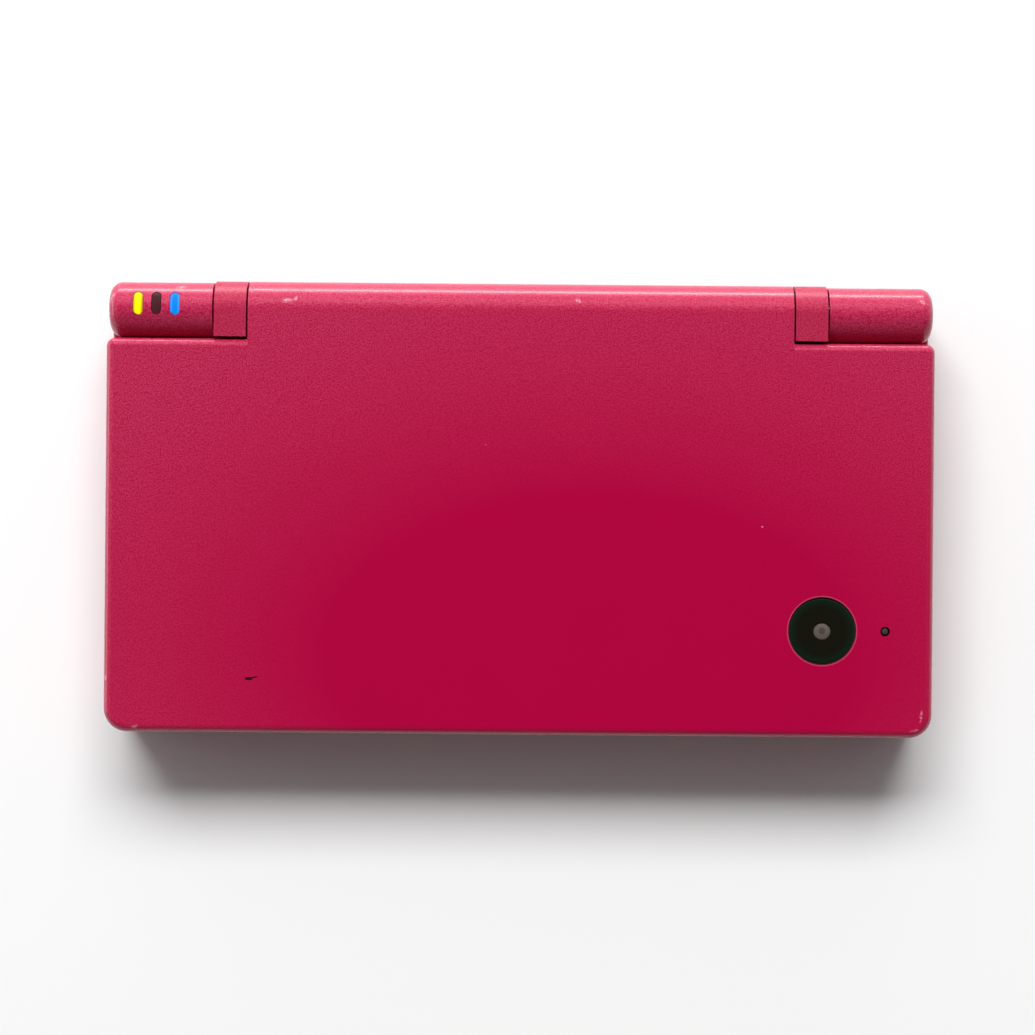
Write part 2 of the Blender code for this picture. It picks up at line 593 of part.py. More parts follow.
piece("touch_display", slab(display_low, display_high), STEEL)

# Cross pad that rocks on a pivot post, over its rubber pad
DPAD_REAR_INSET = 0.03245
DPAD_SPAN = 0.0210
DPAD_ARM = 0.0070
DPAD_GAP = 0.0004
DPAD_STAND = 0.0005
DPAD_FLANGE_RADIUS = 0.0075
DPAD_FLANGE_HEIGHT = 0.0005
DPAD_FLANGE_DROP = 0.0006
DPAD_CORNER = 0.0010
DPAD_DISH_DEPTH = 0.0002
DPAD_DISH_RADIUS = 0.0024
BUTTON_STAND = 0.0010
BUTTON_EDGE = 0.0004
POST_TOP_RADIUS = 0.0015
MAT_HOLE_RADIUS = 0.0020
MAT_MARGIN = 0.0005
MAT_THICKNESS = 0.0004
DPAD_MAT_THICKNESS = 0.0003
MAT_RADIUS = 0.0110
dpad_x = -HALF_WIDTH + CONTROL_FIELD / 2
dpad_y = HALF_DEPTH - DPAD_REAR_INSET
dpad_top = DECK_TOP + DPAD_STAND
dpad_flange_top = DECK_UNDER - DPAD_FLANGE_DROP
dpad_flange_bottom = dpad_flange_top - DPAD_FLANGE_HEIGHT
dpad_pivot_place = (dpad_x, dpad_y, dpad_flange_bottom - GAP)


def arms(low, high, grow, edge):
    """The two bars of the cross."""
    long, wide = DPAD_SPAN / 2 + grow, DPAD_ARM / 2 + grow
    bars = []
    for half_x, half_y in ((long, wide), (wide, long)):
        bar_low = (dpad_x - half_x, dpad_y - half_y, low)
        bar_high = (dpad_x + half_x, dpad_y + half_y, high)
        bars.append(slab(bar_low, bar_high, DPAD_CORNER, edge))
    return bars


across_bar, along_bar = arms(dpad_flange_top - BUTTON_EDGE, dpad_top, 0, BUTTON_EDGE)
dpad_flange = rod("Z", (dpad_x, dpad_y, 0), dpad_flange_bottom, dpad_flange_top, DPAD_FLANGE_RADIUS)
dish_bottom = dpad_top - DPAD_DISH_DEPTH
dish = turned("Z", (dpad_x, dpad_y, 0), (
    (dish_bottom, DPAD_DISH_RADIUS - BUTTON_EDGE),
    (dpad_top + OVERRUN, DPAD_DISH_RADIUS + BUTTON_EDGE),
))
piece("dpad", across_bar, BLACK_PLASTIC, adds=[along_bar, dpad_flange], cuts=[dish], origin=dpad_pivot_place)
dpad_post = dome(BOARD_TOP + GAP, dpad_pivot_place[2], POST_TOP_RADIUS, BUTTON_EDGE)
piece("dpad_pivot", turned("Z", dpad_pivot_place, dpad_post, "small"), BLACK_PLASTIC, origin=dpad_pivot_place)
mat_bottom = BOARD_TOP + GAP
mat_hole = rod("Z", (dpad_x, dpad_y, 0), BOARD_TOP, DECK_UNDER, MAT_HOLE_RADIUS, "small")
dpad_mat = rod("Z", (dpad_x, dpad_y, 0), mat_bottom, mat_bottom + DPAD_MAT_THICKNESS, MAT_RADIUS)
piece("dpad_mat", dpad_mat, GREY_RUBBER, cuts=[mat_hole])
upper_cuts.extend(arms(DECK_UNDER - OVERRUN, DECK_TOP + OVERRUN, DPAD_GAP, 0))

# Round push buttons, each on a rubber mat
ACTION_REAR_INSET = 0.03045
ACTION_SPREAD = 0.0074
ACTION_RADIUS = 0.0039
SMALL_RADIUS = 0.0021
POWER_RADIUS = 0.0020
FLANGE_MARGIN = 0.0008
FLANGE_HEIGHT = 0.0006
SMALL_STAND = 0.0006
SMALL_FROM_PANEL = 0.0091
SELECT_FRONT_INSET = 0.01095
SMALL_PITCH = 0.0070
POWER_FRONT_INSET = 0.01495
SMALL_MAT_MARGIN = 0.0030
ACTION_MAT_RADIUS = 0.0118
action_x = HALF_WIDTH - CONTROL_FIELD / 2
action_y = HALF_DEPTH - ACTION_REAR_INSET
small_x = panel_high[0] + SMALL_FROM_PANEL
select_y = -HALF_DEPTH + SELECT_FRONT_INSET
start_y = select_y + SMALL_PITCH
power_button_y = -HALF_DEPTH + POWER_FRONT_INSET
push_buttons = {
    "button_right": (action_x + ACTION_SPREAD, action_y, ACTION_RADIUS, BUTTON_STAND),
    "button_lower": (action_x, action_y - ACTION_SPREAD, ACTION_RADIUS, BUTTON_STAND),
    "button_upper": (action_x, action_y + ACTION_SPREAD, ACTION_RADIUS, BUTTON_STAND),
    "button_left": (action_x - ACTION_SPREAD, action_y, ACTION_RADIUS, BUTTON_STAND),
    "start_button": (small_x, start_y, SMALL_RADIUS, SMALL_STAND),
    "select_button": (small_x, select_y, SMALL_RADIUS, SMALL_STAND),
    "power_button": (-small_x, power_button_y, POWER_RADIUS, SMALL_STAND),
}
flange_top = DECK_UNDER - GAP
for name, (x, y, radius, stand) in push_buttons.items():
    flange = radius + FLANGE_MARGIN
    profile = [(flange_top - FLANGE_HEIGHT, flange), (flange_top, flange)]
    profile += dome(flange_top, DECK_TOP + stand, radius, BUTTON_EDGE)
    piece(name, turned("Z", (x, y, 0), profile), BLACK_PLASTIC, origin=(x, y, flange_top))
    upper_cuts.append(rod("Z", (x, y, 0), DECK_UNDER - OVERRUN, DECK_TOP + OVERRUN, radius + GAP))
action_mat = rod("Z", (action_x, action_y, 0), mat_bottom, mat_bottom + MAT_THICKNESS, ACTION_MAT_RADIUS)
piece("action_mat", action_mat, GREY_RUBBER)
small_mats = {
    "small_button_mat": (small_x, select_y, start_y),
    "power_button_mat": (-small_x, power_button_y, power_button_y),
}
for name, (x, front, rear) in small_mats.items():
    mat_low = (x - SMALL_MAT_MARGIN, front - SMALL_MAT_MARGIN, mat_bottom)
    mat_high = (x + SMALL_MAT_MARGIN, rear + SMALL_MAT_MARGIN, mat_bottom + MAT_THICKNESS)
    piece(name, slab(mat_low, mat_high, MAT_MARGIN), GREY_RUBBER)

# Main board
BOARD_SIDE_GAP = 0.0006
INNER_CORNER = 0.0025
board_low = (-INNER_X + BOARD_SIDE_GAP, INNER_FRONT + BOARD_SIDE_GAP, BOARD_BOTTOM)
board_high = (INNER_X - BOARD_SIDE_GAP, INNER_REAR - GAP, BOARD_TOP)
piece("main_board", slab(board_low, board_high, INNER_CORNER), BOARD_GREEN, cuts=board_cuts)

# Status lights in the left barrel, flush with its round top
LIGHT_FIRST_INSET = 0.0050
LIGHT_PITCH = 0.00305
LIGHT_WIDTH = 0.00145
LIGHT_LENGTH = 0.0036
LIGHT_DEPTH = 0.0014
LIGHT_FROM_AXIS = 0.0008
LIGHT_SUNK = 0.00005
LIGHT_GAP = 0.0001
barrel_top = HINGE_Z + BARREL_RADIUS
light_y = HINGE_Y + LIGHT_FROM_AXIS
lights = (("charge_light", YELLOW_LIGHT), ("power_light", DARK_LIGHT), ("wireless_light", BLUE_LIGHT))
for number, (name, material) in enumerate(lights):
    light_x = -BARREL_OUTER + LIGHT_FIRST_INSET + number * LIGHT_PITCH
    half = (LIGHT_WIDTH / 2, LIGHT_LENGTH / 2)
    light_low = (light_x - half[0], light_y - half[1], barrel_top - LIGHT_DEPTH)
    light_high = (light_x + half[0], light_y + half[1], barrel_top + OVERRUN)
    skin_radius = BARREL_RADIUS - LIGHT_SUNK
    barrel_skin = rod("X", HINGE, light_low[0] - OVERRUN, light_high[0] + OVERRUN, skin_radius, "large")
    piece(name, slab(light_low, light_high, half[0]), material, keeps=[barrel_skin])
    upper_cuts.append(slab(
        (light_low[0] - LIGHT_GAP, light_low[1] - LIGHT_GAP, light_low[2] - GAP),
        (light_high[0] + LIGHT_GAP, light_high[1] + LIGHT_GAP, light_high[2]),
        half[0] + LIGHT_GAP,
    ))

# Hinge: friction clutch on the right, bush on the left with the cable through it
CLUTCH_RADIUS = 0.0026
CLUTCH_LENGTH = 0.0104
SHAFT_RADIUS = 0.0019
SHAFT_REACH = 0.0045
BUSH_BORE_RADIUS = 0.0013
CABLE_RADIUS = 0.0009
CABLE_INNER = 0.0120
ROLL_BORE_RADIUS = 0.0036
clutch_inner = BARREL_INNER + GAP
clutch_profile = (
    (clutch_inner - SHAFT_REACH, SHAFT_RADIUS),
    (clutch_inner, SHAFT_RADIUS),
    (clutch_inner, CLUTCH_RADIUS),
    (clutch_inner + CLUTCH_LENGTH, CLUTCH_RADIUS),
)
piece("hinge_clutch", turned("X", HINGE, clutch_profile, "small"), STEEL, origin=HINGE)
bush = mirrored(turned("X", HINGE, clutch_profile, "small"))
bush_bore = rod("X", HINGE, -clutch_inner - CLUTCH_LENGTH - OVERRUN, 0, BUSH_BORE_RADIUS, "small")
piece("hinge_bush", bush, BLACK_PLASTIC, cuts=[bush_bore], origin=HINGE)
clutch_seat = rod("X", HINGE, BARREL_INNER - OVERRUN, clutch_inner + CLUTCH_LENGTH + GAP, CLUTCH_RADIUS + GAP)
upper_cuts.extend((clutch_seat, mirrored(clutch_seat)))

# Lower case
BASE_REAR_CORNER = 0.0025
BOTTOM_FILLET = 0.0012
base_corners = (FRONT_CORNER, FRONT_CORNER, BASE_REAR_CORNER, BASE_REAR_CORNER)
base_front_low = (-HALF_WIDTH, -HALF_DEPTH)
base_rear_high = (HALF_WIDTH, BASE_REAR)
lower_low = (*base_front_low, FOOT_STAND)
lower_high = (*base_rear_high, LOWER_TOP)
tray = slab((-INNER_X, INNER_FRONT, FLOOR_TOP), (INNER_X, notch_wall_y, LOWER_TOP + OVERRUN), INNER_CORNER)
rear_tray = slab((-rear_tray_x, 0, FLOOR_TOP), (rear_tray_x, BASE_REAR - WALL, LOWER_TOP + OVERRUN))
piece(
    "base_lower_case", slab(lower_low, lower_high, base_corners, SEAM_FILLET, BOTTOM_FILLET), PINK_CASE,
    hollows=[tray, rear_tray, bay_opening], adds=lower_adds, cuts=lower_cuts,
)

# Upper case: deck, barrels on their saddles, and the trough that the lid's roll turns in
TROUGH_GAP = 0.00035
SADDLE_INSET = 0.0003
BARREL_DOME = 0.0020
RELIEF_DROP = 0.0001
RELIEF_FROM_AXIS = 0.0004
upper_low = (*base_front_low, UPPER_BOTTOM)
upper_high = (*base_rear_high, DECK_TOP)
deck_hollow = slab(
    (-INNER_X, INNER_FRONT, UPPER_BOTTOM - OVERRUN),
    (INNER_X, INNER_REAR, DECK_UNDER),
    INNER_CORNER,
)
saddle_half = BARREL_RADIUS - SADDLE_INSET
saddle = slab(
    (BARREL_INNER, HINGE_Y - saddle_half, DECK_UNDER),
    (BARREL_OUTER - BARREL_DOME, HINGE_Y + saddle_half, HINGE_Z),
)
barrel = turned("X", HINGE, dome(BARREL_INNER, BARREL_OUTER, BARREL_RADIUS, BARREL_DOME, 4), "large")
trough = rod("X", HINGE, -BARREL_INNER, BARREL_INNER, ROLL_RADIUS + TROUGH_GAP, "large")
relief_bottom = HINGE_Z - ROLL_RADIUS - RELIEF_DROP
relief = slab(
    (-BARREL_INNER, HINGE_Y + RELIEF_FROM_AXIS, relief_bottom),
    (BARREL_INNER, HALF_DEPTH + OVERRUN, DECK_TOP + OVERRUN),
)
piece(
    "base_upper_case", slab(upper_low, upper_high, base_corners, SEAM_FILLET, SEAM_FILLET), PINK_CASE,
    hollows=[deck_hollow, trough, relief],
    adds=[*upper_adds, saddle, mirrored(saddle), barrel, mirrored(barrel)],
    cuts=upper_cuts,
)

# The lid turns about this axis
lid_axis = empty("lid_axis", HINGE)
cover_cuts = []
frame_cuts = []


def lid_piece(name, mesh, material, **shaping):
    return piece(name, mesh, material, parent=lid_axis, origin=HINGE, **shaping)


# Upper display and the window in front of it
RECESS_DEPTH = 0.0011
RIM_WIDTH = 0.0016
WINDOW_FRONT_MARGIN = 0.00945
WINDOW_REAR_MARGIN = 0.0057
WINDOW_THICKNESS = 0.0008
WINDOW_CORNER = 0.0010
UPPER_DISPLAY_THICKNESS = 0.0027
recess_top = FRAME_BOTTOM + RECESS_DEPTH
window_high = (HALF_WIDTH - SPEAKER_FIELD, LID_REAR - WINDOW_REAR_MARGIN, FRAME_TOP)
window_low = (-window_high[0], -HALF_DEPTH + WINDOW_FRONT_MARGIN, FRAME_TOP - WINDOW_THICKNESS)
lid_piece("upper_window", slab(window_low, window_high, WINDOW_CORNER), SCREEN_GLASS)
frame_cuts.append(slab(
    (window_low[0] - GAP, window_low[1] - GAP, FRAME_BOTTOM - OVERRUN),
    (window_high[0] + GAP, window_high[1] + GAP, FRAME_TOP + OVERRUN),
    WINDOW_CORNER + GAP,
))
upper_display_bottom = FRAME_TOP + GAP
upper_display_low = (window_low[0] - DISPLAY_MARGIN, window_low[1] - DISPLAY_MARGIN, upper_display_bottom)
upper_display_top = upper_display_bottom + UPPER_DISPLAY_THICKNESS
upper_display_high = (window_high[0] + DISPLAY_MARGIN, window_high[1] + DISPLAY_MARGIN, upper_display_top)
lid_piece("upper_display", slab(upper_display_low, upper_display_high), STEEL)

# Speakers beside the display, behind slots in the inner frame
SPEAKER_RADIUS = 0.0065
SPEAKER_THICKNESS = 0.0030
SLOT_LENGTH = 0.0044
SLOT_WIDTH = 0.0012
SLOT_PITCH = 0.0030
SLOT_ROWS = (-1, 0, 1)
speaker_y = (window_low[1] + window_high[1]) / 2
for side_name, side in (("left", -1), ("right", 1)):
    speaker_place = (side * (HALF_WIDTH - SPEAKER_FIELD / 2), speaker_y, 0)
    speaker_bottom = FRAME_TOP + GAP
    speaker_profile = dome(speaker_bottom, speaker_bottom + SPEAKER_THICKNESS, SPEAKER_RADIUS, BUTTON_EDGE)
    lid_piece(f"speaker_{side_name}", turned("Z", speaker_place, speaker_profile), BLACK_PLASTIC)
    for row in SLOT_ROWS:
        slot_y = speaker_y + row * SLOT_PITCH
        frame_cuts.append(slab(
            (speaker_place[0] - SLOT_LENGTH / 2, slot_y - SLOT_WIDTH / 2, FRAME_BOTTOM - OVERRUN),
            (speaker_place[0] + SLOT_LENGTH / 2, slot_y + SLOT_WIDTH / 2, FRAME_TOP + OVERRUN),
            SLOT_WIDTH / 2,
        ))

# Outer camera: module, round window in its recess, and the indicator light beside it
COVER_TOP_WALL = 0.0012
CAMERA_INSET_X = 0.0184
CAMERA_INSET_Y = 0.01765
CAMERA_RADIUS = 0.0039
CAMERA_HEIGHT = 0.0032
CAMERA_WINDOW_RADIUS = 0.0053
CAMERA_RECESS_RADIUS = 0.0056
CAMERA_WINDOW_THICKNESS = 0.0006
CAMERA_WINDOW_SUNK = 0.0001
CAMERA_SIGHT_RADIUS = 0.0025
INDICATOR_FROM_CAMERA = 0.0104
INDICATOR_RADIUS = 0.0006
INDICATOR_HOLE_RADIUS = 0.0008
INDICATOR_LENGTH = 0.0030
cover_under = CLOSED_HEIGHT - COVER_TOP_WALL
camera_place = (HALF_WIDTH - CAMERA_INSET_X, -HALF_DEPTH + CAMERA_INSET_Y, 0)
window_top = CLOSED_HEIGHT - CAMERA_WINDOW_SUNK
window_bottom = window_top - CAMERA_WINDOW_THICKNESS
camera_window = dome(window_bottom, window_top, CAMERA_WINDOW_RADIUS, CAMERA_WINDOW_SUNK)
lid_piece("camera_window", turned("Z", camera_place, camera_window, "large"), CAMERA_GLASS)
recess_floor = window_bottom - GAP
recess_end = CLOSED_HEIGHT + OVERRUN
cover_cuts.append(rod("Z", camera_place, recess_floor, recess_end, CAMERA_RECESS_RADIUS, "large"))
cover_cuts.append(rod("Z", camera_place, cover_under - OVERRUN, CLOSED_HEIGHT, CAMERA_SIGHT_RADIUS))
camera_top = cover_under - GAP
camera_profile = dome(camera_top - CAMERA_HEIGHT, camera_top, CAMERA_RADIUS, BUTTON_EDGE)
lid_piece("outer_camera", turned("Z", camera_place, camera_profile), BLACK_PLASTIC)
indicator_place = (camera_place[0] + INDICATOR_FROM_CAMERA, camera_place[1], 0)
indicator_bottom = window_top - INDICATOR_LENGTH
indicator = rod("Z", indicator_place, indicator_bottom, window_top, INDICATOR_RADIUS, "small")
lid_piece("camera_light", indicator, DARK_LIGHT)
cover_cuts.append(rod(
    "Z", indicator_place, cover_under - OVERRUN, CLOSED_HEIGHT + OVERRUN, INDICATOR_HOLE_RADIUS, "small",
))

# Inner camera in the underside of the roll
INNER_CAMERA_RADIUS = 0.0018
INNER_CAMERA_SUNK = 0.0004
INNER_CAMERA_HEIGHT = 0.0030
inner_camera_bottom = HINGE_Z - ROLL_RADIUS + INNER_CAMERA_SUNK
inner_camera_top = inner_camera_bottom + INNER_CAMERA_HEIGHT
inner_camera = rod("Z", HINGE, inner_camera_bottom, inner_camera_top, INNER_CAMERA_RADIUS, "small")
lid_piece("inner_camera", inner_camera, CAMERA_GLASS)
inner_hole_radius = INNER_CAMERA_RADIUS + GAP
cover_cuts.append(rod("Z", HINGE, inner_camera_bottom - OVERRUN, HINGE_Z, inner_hole_radius, "small"))

# Cable from the lid through the bush into the base
cable_start = -clutch_inner - CLUTCH_LENGTH + BUSH_BORE_RADIUS
cable = rod("X", HINGE, cable_start, -ROLL_HALF + CABLE_INNER, CABLE_RADIUS, "small")
lid_piece("hinge_cable", cable, BLACK_PLASTIC)

# Outer cover with the roll along its rear edge
NECK_OVERLAP = 0.0030
ROLL_STEPS = 20
UPWARDS = 90
COVER_SIDE_WALL = 0.0013
lid_corners = (FRONT_CORNER, FRONT_CORNER, REAR_CORNER, REAR_CORNER)
cover_low = (-HALF_WIDTH, -HALF_DEPTH, COVER_BOTTOM)
cover_high = (HALF_WIDTH, LID_REAR, CLOSED_HEIGHT)
cover_hollow = slab(
    (cover_low[0] + COVER_SIDE_WALL, cover_low[1] + COVER_SIDE_WALL, COVER_BOTTOM - OVERRUN),
    (cover_high[0] - COVER_SIDE_WALL, cover_high[1] - COVER_SIDE_WALL, cover_under),
    (FRONT_CORNER - COVER_SIDE_WALL,) * 4,
)
neck_front = LID_REAR - COVER_SIDE_WALL
lower_angle = -180 + degrees(asin((HINGE_Z - COVER_BOTTOM) / ROLL_RADIUS))
roll_outline = [
    (neck_front, COVER_BOTTOM),
    *arc(ROLL_RADIUS, lower_angle, UPWARDS, ROLL_STEPS),
    (neck_front, CLOSED_HEIGHT),
]
roll = prism(roll_outline, -ROLL_HALF, ROLL_HALF)
roll_bore = rod("X", HINGE, -ROLL_HALF - OVERRUN, ROLL_HALF + OVERRUN, ROLL_BORE_RADIUS)
lid_piece(
    "lid_outer_cover", slab(cover_low, cover_high, lid_corners, TOP_FILLET, SEAM_FILLET, 5, 3), PINK_CASE,
    hollows=[cover_hollow], adds=[roll], cuts=[roll_bore, *cover_cuts],
)

# Inner frame: rim, plate and the two hinge cheeks
FRAME_REAR_GAP = 0.0003
CHEEK_FRONT_GAP = 0.0003
CHEEK_START_ANGLE = -150
frame_rear = LID_REAR - FRAME_REAR_GAP
frame_low = (-HALF_WIDTH, -HALF_DEPTH, FRAME_BOTTOM)
frame_high = (HALF_WIDTH, frame_rear, FRAME_TOP)
recess = slab(
    (frame_low[0] + RIM_WIDTH, frame_low[1] + RIM_WIDTH, FRAME_BOTTOM - OVERRUN),
    (frame_high[0] - RIM_WIDTH, frame_high[1] - RIM_WIDTH, recess_top),
    FRONT_CORNER - RIM_WIDTH,
)
cheek_front = LID_REAR + CHEEK_FRONT_GAP
cheek_outline = [
    (cheek_front, FRAME_BOTTOM),
    *arc(ROLL_RADIUS, CHEEK_START_ANGLE, UPWARDS, ROLL_STEPS),
    (cheek_front, CLOSED_HEIGHT),
]
neck_low = (CHEEK_INNER, frame_rear - NECK_OVERLAP, recess_top)
neck_high = (CHEEK_OUTER, cheek_front + NECK_OVERLAP, FRAME_TOP)
cheek = prism(cheek_outline, CHEEK_INNER, CHEEK_OUTER)
neck = slab(neck_low, neck_high)
cheek_bore = rod("X", HINGE, CHEEK_INNER - OVERRUN, CHEEK_OUTER + OVERRUN, SHAFT_RADIUS + GAP, "small")
lid_piece(
    "lid_inner_frame", slab(frame_low, frame_high, lid_corners, SEAM_FILLET, SEAM_FILLET), PINK_CASE,
    hollows=[recess], adds=[cheek, mirrored(cheek), neck, mirrored(neck)],
    cuts=[cheek_bore, mirrored(cheek_bore), *frame_cuts],
)
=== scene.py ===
import json
from math import cos, pi, radians, sin

import bmesh
import bpy
from mathutils import Matrix, Vector


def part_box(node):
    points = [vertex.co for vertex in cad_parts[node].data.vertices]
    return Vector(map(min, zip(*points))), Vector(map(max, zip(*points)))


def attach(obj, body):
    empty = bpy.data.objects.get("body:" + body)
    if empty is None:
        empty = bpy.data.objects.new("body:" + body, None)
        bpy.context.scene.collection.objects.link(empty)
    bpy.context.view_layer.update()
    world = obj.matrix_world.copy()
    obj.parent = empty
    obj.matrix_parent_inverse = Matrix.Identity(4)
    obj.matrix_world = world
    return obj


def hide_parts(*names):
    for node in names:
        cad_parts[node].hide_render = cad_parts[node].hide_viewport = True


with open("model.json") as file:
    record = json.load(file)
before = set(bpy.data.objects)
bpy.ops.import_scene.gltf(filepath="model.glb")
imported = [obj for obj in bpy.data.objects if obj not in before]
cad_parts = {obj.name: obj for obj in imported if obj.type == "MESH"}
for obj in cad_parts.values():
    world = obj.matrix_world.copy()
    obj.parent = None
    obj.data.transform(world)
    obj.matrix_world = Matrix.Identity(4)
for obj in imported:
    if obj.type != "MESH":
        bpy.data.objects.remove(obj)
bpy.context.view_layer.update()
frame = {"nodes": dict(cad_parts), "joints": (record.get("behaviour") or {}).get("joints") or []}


# Pink paint: the finish of both halves and of every key, flap and cover in the walls. It is a crimson pink
# with a fine speckle under a satin coat, and it carries the marks of use that the photograph shows.
PINK = (0.434, 0.0004, 0.049, 1)
PINK_SHADE = (0.375, 0.0002, 0.041, 1)
# Paler pink towards the rear and the sides, grained like the rest: a painted sheen for the haze of the
# light's reflection
PINK_SHEEN = (0.545, 0.043, 0.124, 1)
PINK_SHEEN_SHADE = (0.365, 0.000, 0.030, 1)
SPECKLE_LOW = 0.36
SPECKLE_HIGH = 0.64
# Pale pink of the scuffs, and of the painted highlight on the camera pocket's rim
SCUFF_AND_HIGHLIGHT_PINK = (0.80, 0.42, 0.50, 1)
SHEEN_MIDDLE = (0.012, -0.024, 0.0)
SHEEN_SCALE = (0.6, 1.0, 0.0)
SHEEN_START = 0.026
SHEEN_END = 0.064
PINK_ROUGHNESS = 0.30
PINK_GRAIN = 0.00022
PINK_GRAIN_DEPTH = 0.0000022
MOTTLE_SIZE = 0.012
GRAIN_SHARE = 0.9
MOTTLE_SHARE = 0.25
ROUGHNESS_SPREAD = 0.10
SCUFF_STRENGTH = 0.65
SCUFF_CORE = 0.4
SCUFF_EDGE_SIZE = 0.0004
BREAK_LOW = 0.40
BREAK_HIGH = 0.60
# Middle, half length, half width and turn in degrees of each pale mark
SCUFFS = (
    ((-0.0386, 0.0340, 0.0187), 0.00110, 0.00040, 10),
    ((-0.0372, 0.0343, 0.0186), 0.00060, 0.00035, 60),
    ((0.0094, 0.0344, 0.0185), 0.00070, 0.00035, -30),
    ((-0.0564, 0.0362, 0.0171), 0.00110, 0.00035, 5),
    ((-0.0675, 0.0342, 0.0174), 0.00130, 0.00050, 75),
    ((-0.0671, 0.0322, 0.0178), 0.00060, 0.00040, 100),
    ((0.0662, 0.0347, 0.0176), 0.00150, 0.00045, -25),
    ((0.0672, 0.0330, 0.0176), 0.00090, 0.00040, 70),
    ((-0.0632, -0.0364, 0.0184), 0.00080, 0.00050, 20),
    ((-0.0594, -0.0366, 0.0183), 0.00050, 0.00030, 0),
    ((-0.0681, -0.0285, 0.0182), 0.00070, 0.00030, 90),
    ((0.0665, -0.0338, 0.0186), 0.00130, 0.00030, 80),
    ((0.0655, -0.0361, 0.0184), 0.00110, 0.00030, 15),
    ((-0.0056, 0.0104, 0.0189), 0.00022, 0.00018, 0),
    ((0.0401, -0.0027, 0.0189), 0.00020, 0.00018, 0),
    ((0.0518, -0.0357, 0.0187), 0.00028, 0.00022, 0),
)


def add_node(tree, kind, inputs=None, **settings):
    """A shader node with its settings, and its inputs given as values or as sockets to link."""
    made = tree.nodes.new("ShaderNode" + kind)
    for key, value in settings.items():
        setattr(made, key, value)
    for key, value in (inputs or {}).items():
        if isinstance(value, bpy.types.NodeSocket):
            tree.links.new(value, made.inputs[key])
        else:
            made.inputs[key].default_value = value
    return made


def maths(tree, operation, *values, **settings):
    """A Math node's result."""
    return add_node(tree, "Math", dict(enumerate(values)), operation=operation, **settings).outputs[0]


def vectors(tree, operation, *values):
    """A Vector Math node's outputs."""
    return add_node(tree, "VectorMath", dict(enumerate(values)), operation=operation).outputs


def ranged(tree, value, start, end, first=0.0, last=1.0, **settings):
    """A value that runs from the first to the last as another runs from its start to its end."""
    inputs = dict(enumerate((value, start, end, first, last)))
    return add_node(tree, "MapRange", inputs, **settings).outputs[0]


def noise(tree, place, scale, detail):
    """A noise texture's value."""
    return add_node(tree, "TexNoise", {"Vector": place, "Scale": scale, "Detail": detail}).outputs[0]


def own_place(tree):
    """The place on a piece, in its own coordinates."""
    return add_node(tree, "TexCoord").outputs["Object"]


def blended(tree, share, first, second):
    """Two colours mixed by a share."""
    return add_node(tree, "Mix", {0: share, 6: first, 7: second}, data_type="RGBA").outputs[2]


def new_group(name, inputs, outputs):
    """A node group with named sockets, and its input and output nodes."""
    group = bpy.data.node_groups.new(name, "ShaderNodeTree")
    for socket_name, (kind, value) in inputs.items():
        socket = group.interface.new_socket(socket_name, in_out="INPUT", socket_type="NodeSocket" + kind)
        socket.default_value = value
    for socket_name, kind in outputs.items():
        group.interface.new_socket(socket_name, in_out="OUTPUT", socket_type="NodeSocket" + kind)
    return group, group.nodes.new("NodeGroupInput").outputs, group.nodes.new("NodeGroupOutput").inputs


moulded, given, result = new_group(
    "moulded_surface",
    {
        "Colour": ("Color", PINK),
        "Shade": ("Color", PINK_SHADE),
        "Roughness": ("Float", PINK_ROUGHNESS),
        "Grain Size": ("Float", PINK_GRAIN),
        "Grain Depth": ("Float", PINK_GRAIN_DEPTH),
    },
    {"Colour": "Color", "Roughness": "Float", "Normal": "Vector", "Speckle": "Float"},
)
place = own_place(moulded)
grain = noise(moulded, place, maths(moulded, "DIVIDE", 1.0, given["Grain Size"]), detail=2.0)
mottle = noise(moulded, place, 1 / MOTTLE_SIZE, detail=4.0)
broad = maths(moulded, "MULTIPLY_ADD", mottle, MOTTLE_SHARE, 0.5 - (GRAIN_SHARE + MOTTLE_SHARE) / 2)
share = maths(moulded, "MULTIPLY_ADD", grain, GRAIN_SHARE, broad, use_clamp=True)
moulded.links.new(blended(moulded, share, given["Shade"], given["Colour"]), result["Colour"])
offset = maths(moulded, "MULTIPLY_ADD", share, ROUGHNESS_SPREAD, -ROUGHNESS_SPREAD / 2)
moulded.links.new(maths(moulded, "ADD", given["Roughness"], offset), result["Roughness"])
bump = add_node(moulded, "Bump", {"Height": grain, "Distance": given["Grain Depth"]}).outputs[0]
moulded.links.new(bump, result["Normal"])
moulded.links.new(ranged(moulded, grain, SPECKLE_LOW, SPECKLE_HIGH), result["Speckle"])

marks, given, result = new_group(
    "marks_of_use", {"Edge Size": ("Float", SCUFF_EDGE_SIZE)}, {"Mask": "Float"},
)
place = own_place(marks)
ragged = noise(marks, place, maths(marks, "DIVIDE", 1.0, given["Edge Size"]), detail=3.0)
mask = 0.0
for middle, long, wide, turn in SCUFFS:
    local = add_node(
        marks, "Mapping",
        {"Vector": place, "Location": middle, "Rotation": (0, 0, radians(turn)), "Scale": (long, wide, long)},
        vector_type="TEXTURE",
    ).outputs[0]
    reach = vectors(marks, "LENGTH", local)["Value"]
    mask = maths(marks, "MAXIMUM", mask, ranged(marks, reach, 1.0, SCUFF_CORE))
broken = ranged(marks, ragged, BREAK_LOW, BREAK_HIGH, last=SCUFF_STRENGTH)
marks.links.new(maths(marks, "MULTIPLY", mask, broken), result["Mask"])


def opened(material):
    """A material's tree and its shader's inputs."""
    tree = material.node_tree
    return tree, tree.nodes["Principled BSDF"].inputs


